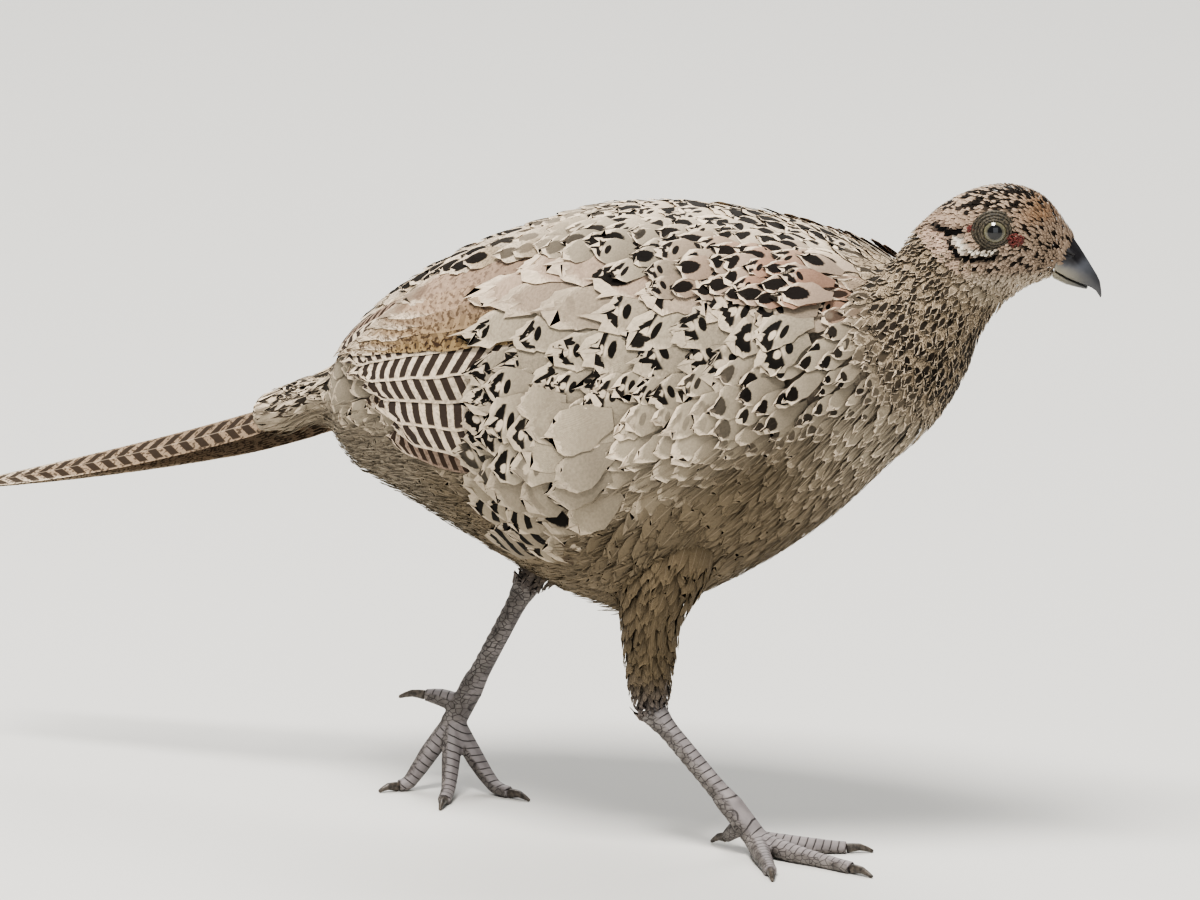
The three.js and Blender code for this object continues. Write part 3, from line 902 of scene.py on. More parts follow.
    @staticmethod
    def _inward(points: Array, quads: Array) -> Array:
        """Find the vanes that are inside out, from the sign of their volume.

        Args:
            points: Places, one row of them for each feather.
            quads: The faces of one vane.

        Returns:
            Which feathers have to be turned.
        """
        corners = points[:, quads]
        a, b, c, d = (corners[:, :, k] for k in range(4))
        first = np.einsum("nfk,nfk->n", np.cross(a, b), c)
        second = np.einsum("nfk,nfk->n", np.cross(a, c), d)
        return first + second < 0

    def build(self, name: str, material: bpy.types.Material) -> bpy.types.Object:
        """Make the mesh.

        Args:
            name: The piece's name.
            material: Its finish.

        Returns:
            The piece.
        """
        co = np.concatenate(self.co) * MM
        quads = np.concatenate(self.quads)
        piece = mesh_piece(name, co, quads, material)
        mesh = piece.data
        corners = quads.ravel()
        for label, data in (("Feather", self.uv), ("OFBake", self.place)):
            layer = mesh.uv_layers.new(name=label)
            layer.data.foreach_set("uv", np.concatenate(data)[corners].astype(np.float32).ravel())
        for key, rows in self.colours.items():
            colour = np.concatenate(rows)
            rgba = np.concatenate([colour, np.ones((len(colour), 1))], 1)
            attribute = mesh.attributes.new(key, "FLOAT_COLOR", "POINT")
            attribute.data.foreach_set("color", rgba.astype(np.float32).ravel())
        for key, rows in self.values.items():
            store(mesh, key, np.concatenate(rows))
        return piece


def store(mesh: bpy.types.Mesh, name: str, values: Array) -> None:
    """Give a mesh one number at each point.

    Args:
        mesh: The mesh.
        name: The attribute's name.
        values: The numbers.
    """
    attribute = mesh.attributes.new(name, "FLOAT", "POINT")
    attribute.data.foreach_set("value", values.astype(np.float32))


def mesh_piece(
    name: str, co: Array, faces: Array, material: bpy.types.Material
) -> bpy.types.Object:
    """Make an object from arrays.

    Args:
        name: The piece's name.
        co: Points in metres.
        faces: Point numbers of faces that all have as many corners.
        material: Its finish.

    Returns:
        The object, linked to the scene.
    """
    mesh = bpy.data.meshes.new(name)
    sides = faces.shape[1]
    mesh.vertices.add(len(co))
    mesh.vertices.foreach_set("co", co.astype(np.float32).ravel())
    mesh.loops.add(faces.size)
    mesh.loops.foreach_set("vertex_index", faces.astype(np.int32).ravel())
    mesh.polygons.add(len(faces))
    mesh.polygons.foreach_set("loop_start", np.arange(0, faces.size, sides, dtype=np.int32))
    mesh.polygons.foreach_set("loop_total", np.full(len(faces), sides, dtype=np.int32))
    mesh.update(calc_edges=True)
    mesh.shade_smooth()
    mesh.set_sharp_from_angle(angle=SHARP_EDGE)
    mesh.materials.append(material)
    piece = bpy.data.objects.new(name, mesh)
    bpy.context.scene.collection.objects.link(piece)
    return piece


def deselect() -> None:
    """Leave nothing selected."""
    for thing in bpy.context.view_layer.objects:
        thing.select_set(False)


def activate(piece: bpy.types.Object) -> None:
    """Select one piece alone.

    Args:
        piece: The piece.
    """
    deselect()
    piece.select_set(True)
    bpy.context.view_layer.objects.active = piece


def apply(piece: bpy.types.Object, kind: str, **settings: object) -> None:
    """Add a modifier and apply it.

    Args:
        piece: The piece.
        kind: The modifier's type.
        settings: Its settings.
    """
    activate(piece)
    modifier = piece.modifiers.new(kind.title(), kind)
    for key, value in settings.items():
        setattr(modifier, key, value)
    bpy.ops.object.modifier_apply(modifier=modifier.name)


def copy_of(name: str, *nodes: str) -> bpy.types.Object:
    """A merged copy of solid nodes as one new piece.

    Args:
        name: The piece's name.
        nodes: The nodes.

    Returns:
        The piece, without materials.
    """
    shape = bmesh.new()
    for node in nodes:
        shape.from_mesh(bpy.data.objects[node].data)
    bmesh.ops.remove_doubles(shape, verts=shape.verts, dist=1e-6)
    mesh = bpy.data.meshes.new(name)
    shape.to_mesh(mesh)
    shape.free()
    mesh.materials.clear()
    piece = bpy.data.objects.new(name, mesh)
    bpy.context.scene.collection.objects.link(piece)
    return piece


def rounded_copy(
    name: str, nodes: tuple[str, ...], voxel: float, rounds: int, factor: float = 0.5
) -> bpy.types.Object:
    """A merged copy of solid nodes with its facets rounded off.

    Args:
        name: The piece's name.
        nodes: The nodes.
        voxel: The grain of the new mesh, in millimetres.
        rounds: How often it is smoothed.
        factor: How much each time.

    Returns:
        The piece, without materials.
    """
    piece = copy_of(name, *nodes)
    apply(piece, "REMESH", mode="VOXEL", voxel_size=voxel * MM)
    apply(piece, "SMOOTH", factor=factor, iterations=rounds)
    return piece


def dress(piece: bpy.types.Object, material: bpy.types.Material) -> None:
    """Shade a piece smoothly and give it its finish."""
    piece.data.shade_smooth()
    piece.data.materials.append(material)


def finish_piece(piece: bpy.types.Object, slot: str, *nodes: str) -> None:
    """Hang a piece under the root, hide the solid nodes it stands for and log its triangles.

    Args:
        piece: The piece.
        slot: The record's slot for the piece; not used.
        nodes: The solid nodes that it stands for.
    """
    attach(piece, "root")
    if nodes:
        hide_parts(*nodes)
    piece.data.calc_loop_triangles()
    LOG.info("%s: %d triangles", piece.name, len(piece.data.loop_triangles))


def grow(
    name: str, shape: Surface, seed: int, batch: Feathers, look: bpy.types.Material
) -> None:
    """Make one piece of plumage from one batch of feathers.

    Args:
        name: The piece's name.
        shape: The surface that they lie on.
        seed: Start of the random numbers.
        batch: The feathers.
        look: Their finish.
    """
    maker = FeatherMesh(shape, seed)
    maker.add(batch)
    finish_piece(maker.build(name, look), "plumage")


def scatter(
    shape: Surface,
    low: float,
    high: float,
    gap: Gap,
    seed: int,
    tries: int = 60000,
) -> tuple[Array, Array]:
    """Places for feather roots, none closer than the gap asked for there.

    Args:
        shape: The surface.
        low: Where the roots start along it.
        high: Where they end.
        gap: Gives the distance in millimetres for stations and angles.
        seed: Start of the random numbers.
        tries: How many places are tried.

    Returns:
        Stations and angles of the roots.
    """
    random = np.random.default_rng(seed)
    s = random.uniform(low, high, tries)
    angle = random.uniform(-180, 180, tries)
    station, degree = shape.pace(s, angle)
    keep = random.random(tries) < station * degree / (station * degree).max()
    s, angle = s[keep], angle[keep]
    where = shape.point(s, angle, np.zeros_like(s))
    reach = gap(s, angle)
    size = float(reach.max())
    cells: dict[tuple[int, int, int], list[int]] = {}
    chosen: list[int] = []
    keys = np.floor(where / size).astype(int)
    for i in range(len(s)):
        if reach[i] <= 0:
            continue
        a, b, c = keys[i]
        near = [
            j
            for x in (a - 1, a, a + 1)
            for y in (b - 1, b, b + 1)
            for z in (c - 1, c, c + 1)
            for j in cells.get((x, y, z), ())
        ]
        if near and (np.linalg.norm(where[near] - where[i], axis=1) < reach[i]).any():
            continue
        cells.setdefault((a, b, c), []).append(i)
        chosen.append(i)
    return s[chosen], angle[chosen]


def wing_edge(s: Array) -> tuple[Array, Array]:
    """The upper and lower edge of the folded wing.

    Args:
        s: Stations along the body.

    Returns:
        Degrees from the back line to each edge.
    """
    return tuple(np.interp(s, WING_EDGES[:, 0], WING_EDGES[:, k]) for k in (1, 2))


class PlumageMap:
    """Where each colour and mark of the plumage lies on the body."""

    def __init__(self, s: Array, angle: Array, random: np.random.Generator) -> None:
        """Work out how much each feather belongs to every region.

        Args:
            s: Stations of the roots.
            angle: Degrees from the back line.
            random: Random numbers.
        """
        a = from_back(angle)
        self.s, self.a = s, a
        self.count = len(s)
        self.luck = random.random(self.count)
        self.some = random.random(self.count)
        self.mantle = smooth((66 - a) / 14) * smooth((s - 4.6) / 1.2) * smooth((11.0 - s) / 1.2)
        self.rump = smooth((60 - a) / 14) * smooth((5.4 - s) / 1.2)
        self.low = smooth((a - 94) / 26) * smooth((9.8 - s) / 1.6)
        self.vent = smooth((3.9 - s) / 1.2) * smooth((a - 88) / 18)
        self.neck = smooth((s - 9.7) / 1.5)
        self.throat = smooth((s - 12.8) / 1.0) * smooth((a - 80) / 40)
        self.flank = bump(s, 4.9, 0.85) * smooth((a - 80) / 8) * smooth((134 - a) / 10)
        self.breast = smooth((s - 7.6) / 0.9) * smooth((a - 56) / 10) * smooth((132 - a) / 26)

    def marks(self) -> Marks:
        """The marks of the torso and neck.

        Returns:
            Their colours and strengths, one row for each feather.
        """
        s, a, count = self.s, self.a, self.count
        rust = self.mantle * smooth((s - 6.4) / 1.8) * smooth((a - 16) / 20)
        ground = painted(Ink.GREY_BUFF, (
            (Ink.CREAM, self.mantle * smooth((34 - a) / 20) * 0.7),
            (Ink.PINK_BUFF, rust * 0.8),
            (Ink.CHESTNUT, rust * (self.luck > 0.5) * 0.5),
            (Ink.CREAM, self.rump * 0.75),
            (Ink.OCHRE, self.rump * (self.some > 0.6) * 0.45),
            # The plain belly, whose colour holds painted shade of the underside.
            (Ink.SHADED_BELLY, self.low * 0.85),
            (Ink.VENT, self.vent),
            (Ink.NECK, self.neck * (1 - self.mantle) * 0.85),
            (Ink.GREY_BUFF, self.throat * 0.7),
        ), count)
        plain = np.clip(self.low + self.vent, 0, 1)
        fringe = lerp(Ink.CREAM.rows(count), ground * 1.12, np.clip(plain + 0.35 * self.neck, 0, 1))
        umber = np.clip(plain * 0.8 + 0.10 * self.luck, 0, 1)
        ink = lerp(Ink.BLACK.rows(count), Ink.UMBER.rgb, umber)
        return Marks(ground, fringe, ink, self._strengths(plain))

    def _strengths(self, plain: Array) -> dict[str, Array]:
        """How strong each mark is on each feather.

        Args:
            plain: Share of the plain belly and vent.

        Returns:
            A strength for each feather by the mark's name.
        """
        s, a, luck, some = self.s, self.a, self.luck, self.some
        mantle, breast = self.mantle, self.breast * (1 - self.neck * 0.6)
        shown = 1 - plain * (1 - self.flank)
        side = smooth((a - 50) / 10) * smooth((92 - a) / 10) * smooth((s - 4.5) / 1)
        crescent = np.maximum(side * (1 - breast) * (1 - self.neck), mantle * (luck > 0.75))
        streak = np.maximum(self.rump * (some > 0.15), mantle * (luck > 0.22) * (luck <= 0.75))
        spot = np.maximum(breast * (some > 0.1), mantle * (luck <= 0.22) * smooth((s - 5.5) / 1))
        front = self.neck * smooth((a - 60) / 50) * smooth((12.8 - s) / 1.2)
        nape = self.neck * (some > 0.4) * 0.95
        odd = (some > 0.95) * smooth((a - 95) / 10) * smooth((s - 5) / 1) * 0.7
        return {
            "crescent": crescent * shown,
            "streak": np.maximum(streak * shown, nape * (1 - self.throat)),
            "spot": np.maximum(np.maximum(spot, front * (luck > 0.2)) * (1 - plain * 0.85), odd),
            "pair": self.flank * (some > 0.12),
            "freckle": np.maximum(self.neck * 0.9, 0.35 * self.rump) * (1 - 0.75 * self.throat),
            "shaft": 0.35 * plain,
        }


@dataclass
class Coat:
    """The feathers of the torso and neck over one skin, in millimetres."""

    shape: BodyShape
    material: bpy.types.Material
    skin_depth: float = 2.6
    skin_voxel: float = 1.6
    longest: float = 20.0
    slim: float = 0.53
    wing_cover: float = 4.6
    thigh_cover: float = 9.5
    side_length: float = 25.0
    side_slim: float = 0.60
    side_gap: float = 7.6
    strand_gap: float = 1.55
    strand_width: float = 0.55

    def skin(self) -> None:
        """One skin in place of the flesh nodes."""
        nodes = ("torso", "neck", "head", "thigh_right", "thigh_left")
        skin = rounded_copy("skin", nodes, self.skin_voxel, 6, 0.6)
        apply(skin, "DISPLACE", strength=-self.skin_depth * MM, mid_level=0.0)
        apply(skin, "SMOOTH", factor=0.5, iterations=4)
        dress(skin, DownFinish().make())
        finish_piece(skin, "plumage", *nodes)

    @staticmethod
    def room(s: Array, angle: Array) -> Array:
        """Room between the roots of the body feathers, which are few under the wing.

        Args:
            s: Stations along the body.
            angle: Degrees round from the back.

        Returns:
            Millimetres from root to root.
        """
        a = from_back(angle)
        size = 5.6 - 1.6 * smooth((a - 84) / 25) - 1.4 * smooth((s - 7.5) / 3)
        size = np.maximum(size, 3.6)
        upper, lower = wing_edge(s)
        tuck = 10 + 10 * smooth((s - 4.6) / 2)
        bare = 20 - 13 * smooth((s - 3.4) / 1.4)
        covered = (a > upper + bare) & (a < lower - tuck) & (s > 0.6) & (s < 8.9)
        return np.where(covered, 7.5, size)

    def swell(self, s: Array, angle: Array) -> Array:
        """How far the side feathers stand out where they lie over the wing's lower edge.

        Args:
            s: Stations along the body.
            angle: Degrees round from the back.

        Returns:
            Millimetres.
        """
        a = from_back(angle)
        rise = smooth((a - 70) / 11) * smooth((122 - a) / 24)
        return self.wing_cover * rise * smooth((s - 3.9) / 0.8) * smooth((9.0 - s) / 0.8)

    def stand(self, s: Array, angle: Array) -> Array:
        """How far the feathers stand out in all, over the wing's edge and over the thighs.

        Args:
            s: Stations along the body.
            angle: Degrees round from the back, + on the left.

        Returns:
            Millimetres.
        """
        a = from_back(angle)
        middle = np.where(angle < 0, 6.25, 4.9)
        reach = np.where(angle < 0, 0.72, 0.95)
        thigh = smooth((a - 108) / 32) * smooth((168 - a) / 14) * bump(s, middle, reach)
        return self.swell(s, angle) + self.thigh_cover * thigh

    def torso(self) -> None:
        """The feathers from the rump to the shoulders, in five pieces."""
        s, angle = scatter(self.shape, -0.2, 11.0, self.room, seed=3)
        a = from_back(angle)
        random = np.random.default_rng(8)
        count = len(s)
        marks = PlumageMap(s, angle, random).marks()
        length = self.longest - 9.5 * smooth((s - 6.5) / 4) - 3.5 * smooth((a - 80) / 25)
        knee = np.where(angle < 0, 6.7, 5.6)
        skirt = bump(s, knee, 0.9) * bump(a, 118, 14)
        length = length * (1 + 0.10 * random.standard_normal(count))
        width = length * (self.slim + 0.03 * random.standard_normal(count))
        down = 0.20 * smooth((a - 60) / 40) * smooth((160 - a) / 30) + 0.35 * skirt
        drift = np.sign(angle) * down + 0.11 * random.standard_normal(count)
        station, degree = self.shape.pace(s, angle)
        end = s - length * np.cos(drift) / station
        tip = 0.15 + self.stand(end, angle + length * np.sin(drift) / degree)
        root = 0.3 - self.skin_depth + 0.9 * self.stand(s, angle)
        roll = 0.04 * random.standard_normal(count)
        regions = {
            "coat_back": a < 45,
            "coat_flank_right": (a >= 45) & (a < 112) & (angle < 0),
            "coat_flank_left": (a >= 45) & (a < 112) & (angle > 0),
            "coat_belly_right": (a >= 112) & (angle < 0),
            "coat_belly_left": (a >= 112) & (angle >= 0),
        }
        for number, (name, rows) in enumerate(regions.items()):
            grow(name, self.shape, 20 + number, Feathers(
                s[rows], angle[rows], length[rows], width[rows], root[rows], tip[rows],
                drift[rows], roll[rows], marks.pick(rows),
            ), self.material)

    def flanks(self) -> None:
        """The large barred feathers that lie over each wing's lower edge."""
        for side in Side:
            sign = float(side.value)

            def gap(s: Array, angle: Array) -> Array:
                """Room between roots, 0 where none grow."""
                inside = (angle * sign > 76 + 4 * (s - 4.6)) & (angle * sign < 134 - 8 * (s - 5))
                return np.where(inside, self.side_gap, 0.0)

            s, angle = scatter(self.shape, 4.7, 6.3, gap, seed=17, tries=24000)
            random = np.random.default_rng(18)
            count = len(s)
            marks = PlumageMap(s - 0.75, angle, random).marks()
            marks.ground = lerp(marks.ground, Ink.GREY_BUFF.rgb * 1.15, 0.6)
            marks.fringe = lerp(marks.ground, Ink.CREAM.rgb, 0.5)
            marks.ink = Ink.BLACK.rows(count)
            lower = smooth((np.abs(angle) - 98) / 8)
            kind = random.random(count)
            bold = smooth((5.9 - s) / 0.4)
            marks.strengths = {
                "crescent": bold * (1 - lower) * (kind > 0.12),
                "pair": bold * lower * (kind > 0.08),
                "spot": (1 - bold) * (kind > 0.8),
            }
            length = self.side_length * (1 + 0.08 * random.standard_normal(count))
            over = self.swell(s - 0.5, angle)
            grow(f"coat_side_{side.name.lower()}", self.shape, 19, Feathers(
                s, angle, length, length * self.side_slim, -0.4 + over, 1.2 + 1.1 * over,
                sign * 0.22 + 0.10 * random.standard_normal(count),
                sign * 0.25 + 0.05 * random.standard_normal(count), marks,
                rows=8, heart=0.95,
            ), self.material)

    def neck(self) -> None:
        """The small feathers of the neck."""
        s, angle = scatter(
            self.shape, 10.4, 14.6, lambda s, _: 2.3 - 0.7 * smooth((s - 10.5) / 3), seed=5
        )
        random = np.random.default_rng(9)
        count = len(s)
        marks = PlumageMap(s, angle, random).marks()
        length = (9.0 - 4.0 * smooth((s - 10.4) / 3.5)) * (1 + 0.1 * random.standard_normal(count))
        grow("coat_neck", self.shape, 31, Feathers(
            s, angle, length, length * 0.48, np.full(count, -2.4), np.full(count, 0.15),
            0.14 * random.standard_normal(count), 0.03 * random.standard_normal(count), marks,
            columns=5, rows=5, layers=0.4,
        ), self.material)

    def fluff(self) -> None:
        """Fine loose barbs over the belly and the vent, in one piece for each side."""
        random = np.random.default_rng(14)

        def gap(s: Array, angle: Array) -> Array:
            """Room between strands, 0 where none grow.

            Args:
                s: Stations along the body.
                angle: Degrees round from the back.

            Returns:
                Millimetres from root to root.
            """
            a = from_back(angle)
            edge = 84 + 16 * smooth((s - 3.6) / 0.8) + 10 * smooth((s - 7.5) / 2)
            here = smooth((a - edge) / 16) * smooth((10.4 - s) / 1.6)
            return np.where(here > random.random(len(s)), self.strand_gap, 0.0)

        s, angle = scatter(self.shape, -0.3, 10.6, gap, seed=15, tries=90000)
        count = len(s)
        a = np.abs(angle)
        vent = smooth((4.2 - s) / 1.4) * smooth((a - 96) / 14)
        over = self.stand(s - 0.2, angle)
        down = 0.25 * np.sign(angle) * smooth((160 - a) / 30)
        marks = PlumageMap(s, angle, random).marks()
        marks.ground = marks.ground * (1.05 + 0.16 * random.standard_normal(count))[:, None]
        marks.fringe = marks.ground * 1.1
        marks.strengths = {"freckle": np.full(count, 0.08)}
        length = 9.5 + 6 * vent + 2.2 * random.standard_normal(count)
        for name, rows in (("coat_down_right", angle < 0), ("coat_down_left", angle >= 0)):
            some = int(rows.sum())
            grow(name, self.shape, 16, Feathers(
                s[rows], angle[rows], np.clip(length[rows], 5, 24),
                np.full(some, self.strand_width), over[rows] - 0.9,
                over[rows] + 0.2 + (0.35 + 1.5 * vent[rows]) * random.random(some),
                down[rows] + 0.14 * random.standard_normal(some), np.zeros(some),
                marks.pick(rows),
                columns=3, rows=4, round_from=0.2, thick=0.15, tip_width=0.05, root_share=0.7,
            ), self.material)


@dataclass(frozen=True)
class DownFinish:
    """Soft down that shows between the feathers."""

    def make(self) -> bpy.types.Material:
        """Build the material.

        Returns:
            The material.
        """
        shader = Shader("down", 0.9, Sheen_Weight=0.3)
        noise = shader.noise(260.0, 4.0)
        colour = shader.mix(noise.ease(0.35, 0.65), (0.16, 0.13, 0.10), (0.30, 0.25, 0.19))
        shader.feed("Base Color", colour)
        shader.relief(shader.noise(900.0, 3.0), 0.6, 0.0006)
        return shader.material


@dataclass
class Head:
    """The feathered head: its small feathers, bare face, lids and eyes, in millimetres."""

    shape: BodyShape
    material: bpy.types.Material
    eye_radius: float = 5.3
    cornea: float = 0.05
    eye_yaw: float = 82.0
    eye_tilt: float = 0.06

    # Each ring of the lids: how wide it is, how far out from the eye's middle, and how thick.
    LIDS: ClassVar[tuple[Triple, ...]] = (
        (3.95, 3.75, 0.55), (4.75, 3.35, 0.62), (5.7, 2.65, 0.68), (6.6, 1.9, 0.6),
    )
    # Each wattle: its place ahead of the eye and above it, its reach both ways, and its grains.
    WATTLES: ClassVar[tuple[tuple[float, float, float, float, int], ...]] = (
        (7.4, -2.4, 2.8, 2.1, 90), (-7.6, 0.8, 1.5, 1.2, 34),
    )

    def place(self, s: Array, angle: Array) -> tuple[Array, Array, Array]:
        """Where roots lie beside the eye.

        Args:
            s: Stations of the roots.
            angle: Degrees from the crown line.

        Returns:
            Millimetres ahead of the eye, above it, and out from the middle.
        """
        straight = self.shape.straight(s, angle, np.zeros_like(s))
        return straight[:, 0] - EYE.x, straight[:, 2] - EYE.z, straight[:, 1]

    def feathers(self) -> None:
        """The small feathers, each with the colour of its place."""

        def gap(s: Array, angle: Array) -> Array:
            """Room between roots, 0 on the eye and the bare face.

            Args:
                s: Stations along the body.
                angle: Degrees from the crown line.

            Returns:
                Millimetres from root to root.
            """
            x, z, y = self.place(s, angle)
            eye = np.hypot(x / 1.12, z) < 5.6
            face = (np.hypot((x - 7.4) / 2.6, (z + 2.4) / 1.9) < 1) & (np.abs(y) > 5)
            size = 0.95 - 0.15 * smooth((x - 4) / 12)
            low = (s > BILL_ROOT + 0.15) & (np.abs(angle) > 118)
            return np.where(eye | face | low, 0.0, size)

        s, angle = scatter(self.shape, 13.8, FEATHERED - 0.1, gap, seed=6, tries=90000)
        random = np.random.default_rng(12)
        count = len(s)
        x, z, y = self.place(s, angle)
        marks = self._marks(x, z, y, random)
        near = smooth((np.hypot(x, z) - 5.5) / 5)
        length = (2.2 + 1.6 * smooth((-x - 2) / 10)) * (0.75 + 0.25 * near)
        length = length * (1 + 0.12 * random.standard_normal(count))
        grow("coat_head", self.shape, 41, Feathers(
            s, angle, length, length * 0.52, np.full(count, -0.9), np.full(count, 0.1),
            0.16 * random.standard_normal(count), 0.03 * random.standard_normal(count), marks,
            columns=3, rows=4, layers=0.3,
        ), self.material)

    @staticmethod
    def _marks(x: Array, z: Array, y: Array, random: np.random.Generator) -> Marks:
        """The head's colours.

        Args:
            x: Millimetres ahead of the eye.
            z: Millimetres above it.
            y: Millimetres out from the middle.
            random: Random numbers.

        Returns:
            The marks of each feather.
        """
        count = len(x)
        luck = random.random(count)
        crown = smooth((z - 5.5) / 3)
        ear = bump(x, -17, 7) * bump(z, -2, 6)
        throat = smooth((-z - 12) / 4)
        side = np.abs(y) > 4
        white = bump(np.hypot((x + 2.5) / 8.3, (z + 0.2) / 6.6), 1.0, 0.13)
        white = white * smooth((1.5 - z) / 1.5) * smooth((3.0 - x) / 3) * side
        ground = painted(Ink.FACE, (
            (Ink.CROWN, crown * 0.9),
            (Ink.FOREHEAD, bump(x, 16, 6) * smooth(z / 5) * 0.75),
            (Ink.LORE, bump(x, 14, 6) * bump(z, -4, 5) * 0.8),
            (Ink.EAR, ear),
            (Ink.CHEEK, bump(z, -9, 5) * bump(x, 6, 12) * 0.7),
            (Ink.THROAT, throat * 0.8),
            (Ink.WHITE, np.clip(white * 1.3, 0, 1)),
        ), count)
        line = bump(np.hypot((x + 2.8) / 10.8, (z - 0.2) / 9.0), 1.0, 0.10)
        line = line * smooth((-x + 4) / 3) * smooth((2.5 - z) / 2) * side
        stripe = bump(z - 1.2 + 0.16 * (x + 12), 0, 1.25)
        stripe = stripe * smooth((-x - 8) / 2) * smooth((x + 21) / 3)
        fleck = crown * (luck > 0.52) + (1 - crown) * (luck > 0.90) * (1 - throat) * (1 - ear)
        fleck = fleck * (1 - np.clip(white * 2, 0, 1))
        black = np.clip(np.maximum(np.maximum(line, stripe * side) * 1.4, fleck * 0.95), 0, 1)
        ground = lerp(ground, Ink.BLACK.rgb, black)
        fringe = lerp(ground, Ink.CREAM.rows(count), 0.25 * (1 - black))
        return Marks(ground, fringe, Ink.BLACK.rows(count), {
            "freckle": (0.35 - 0.3 * throat - 0.35 * np.clip(white, 0, 1)) * (1 - ear * 0.8),
        })

    def eyes(self) -> None:
        """Eyeballs with iris and pupil, and a lid ring round each."""
        for side in Side:
            name = side.name.lower()
            low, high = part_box(f"eye_{name}")
            middle = (Vector(low) + Vector(high)) / 2
            radius = self.eye_radius * MM
            look = self._outward(side)
            deselect()
            bpy.ops.mesh.primitive_uv_sphere_add(
                segments=48, ring_count=32, radius=radius, location=(0, 0, 0)
            )
            ball = bpy.context.object
            ball.name = f"eyeball_{name}"
            turn = Vector((0, 0, 1)).rotation_difference(look).to_matrix().to_4x4()
            for vertex in ball.data.vertices:
                flat = vertex.co.z / radius
                swell = 1 + self.cornea * max(flat, 0) ** 6
                vertex.co = middle + turn @ (vertex.co * swell)
            dress(ball, EyeFinish(f"eye_{name}", tuple(middle), tuple(look)).make())
            finish_piece(ball, "eye", f"eye_{name}")
            self._lids(side, middle, look)

    def _outward(self, side: Side) -> Vector:
        """The way an eye looks."""
        yaw = math.radians(HEAD_TURN + side.value * self.eye_yaw)
        return Vector((math.cos(yaw), math.sin(yaw), self.eye_tilt)).normalized()

    def _lids(self, side: Side, middle: Vector, look: Vector) -> None:
        """The rings of the eyelids round an eye.

        Args:
            side: Which side.
            middle: The eye's middle.
            look: The way it looks.
        """
        up = Vector((0, 0, 1))
        across = look.cross(up).normalized()
        up = across.cross(look).normalized()
        points: list[Vector] = []
        faces: list[tuple[int, ...]] = []
        around, tube = 64, 8
        for number, (wide, out, thick) in enumerate(self.LIDS):
            start = len(points)
            for i in range(around):
                a = 2 * math.pi * i / around
                crease = 1 + 0.05 * math.sin(9 * a + number) + 0.04 * math.sin(17 * a + 2 * number)
                rim = (across * math.cos(a) * 1.12 + up * math.sin(a)) * wide * MM
                radial = rim.normalized()
                for j in range(tube):
                    b = 2 * math.pi * j / tube
                    offset = radial * math.cos(b) + look * math.sin(b)
                    points.append(middle + rim + look * out * MM + offset * thick * crease * MM)
            for i in range(around):
                for j in range(tube):
                    k, m = (i + 1) % around, (j + 1) % tube
                    face = (i * tube + j, k * tube + j, k * tube + m, i * tube + m)
                    faces.append(tuple(start + f for f in face))
        co = np.array([tuple(p) for p in points])
        lid = mesh_piece(f"lids_{side.name.lower()}", co, np.array(faces), SkinFinish.lids())
        activate(lid)
        bpy.ops.object.mode_set(mode="EDIT")
        bpy.ops.mesh.select_all(action="SELECT")
        bpy.ops.mesh.normals_make_consistent(inside=False)
        bpy.ops.object.mode_set(mode="OBJECT")
        finish_piece(lid, "plumage")

    def bare_face(self) -> None:
        """The small red wattles before and behind each eye, as tiny raised grains."""
        grains = []
        random = np.random.default_rng(2)
        for sign in (-1, 1):
            for x, z, wide, high, count in self.WATTLES:
                r = np.sqrt(random.random(count))
                t = random.random(count) * 2 * np.pi
                grains.append(np.stack([
                    EYE.x + x + wide * r * np.cos(t), EYE.z + z + high * r * np.sin(t),
                    np.full(count, float(sign)),
                ], -1))
        spots = np.concatenate(grains)
        s, angle = self._root_of(spots[:, 0], spots[:, 1], spots[:, 2])
        centre = self.shape.point(s, angle, np.full(len(s), -0.15))
        deselect()
        bpy.ops.mesh.primitive_ico_sphere_add(subdivisions=2, radius=1, location=(0, 0, 0))
        pearl = bpy.context.object
        unit = np.array([tuple(v.co) for v in pearl.data.vertices])
        tris = np.array([tuple(p.vertices) for p in pearl.data.polygons])
        bpy.data.objects.remove(pearl)
        size = 0.32 + 0.12 * random.random(len(s))
        co = (centre[:, None] + unit[None] * size[:, None, None]).reshape(-1, 3) * MM
        faces = (tris[None] + (np.arange(len(s)) * len(unit))[:, None, None]).reshape(-1, 3)
        finish_piece(mesh_piece("bare_face", co, faces, SkinFinish.wattle()), "plumage")

    def _root_of(self, x: Array, z: Array, sign: Array) -> tuple[Array, Array]:
        """Find the station and angle of places on the side of the head.

        Args:
            x: Straight-ahead x of each place.
            z: Its height.
            sign: Its side.

        Returns:
            Stations and angles.
        """
        s, a = np.meshgrid(np.linspace(13.5, BILL_ROOT, 120), np.linspace(10, 170, 161))
        grid = self.shape.straight(s.ravel(), a.ravel(), np.zeros(s.size))
        near = [
            int(np.argmin((grid[:, 0] - p) ** 2 + (grid[:, 2] - q) ** 2)) for p, q in zip(x, z)
        ]
        return s.ravel()[near], a.ravel()[near] * sign


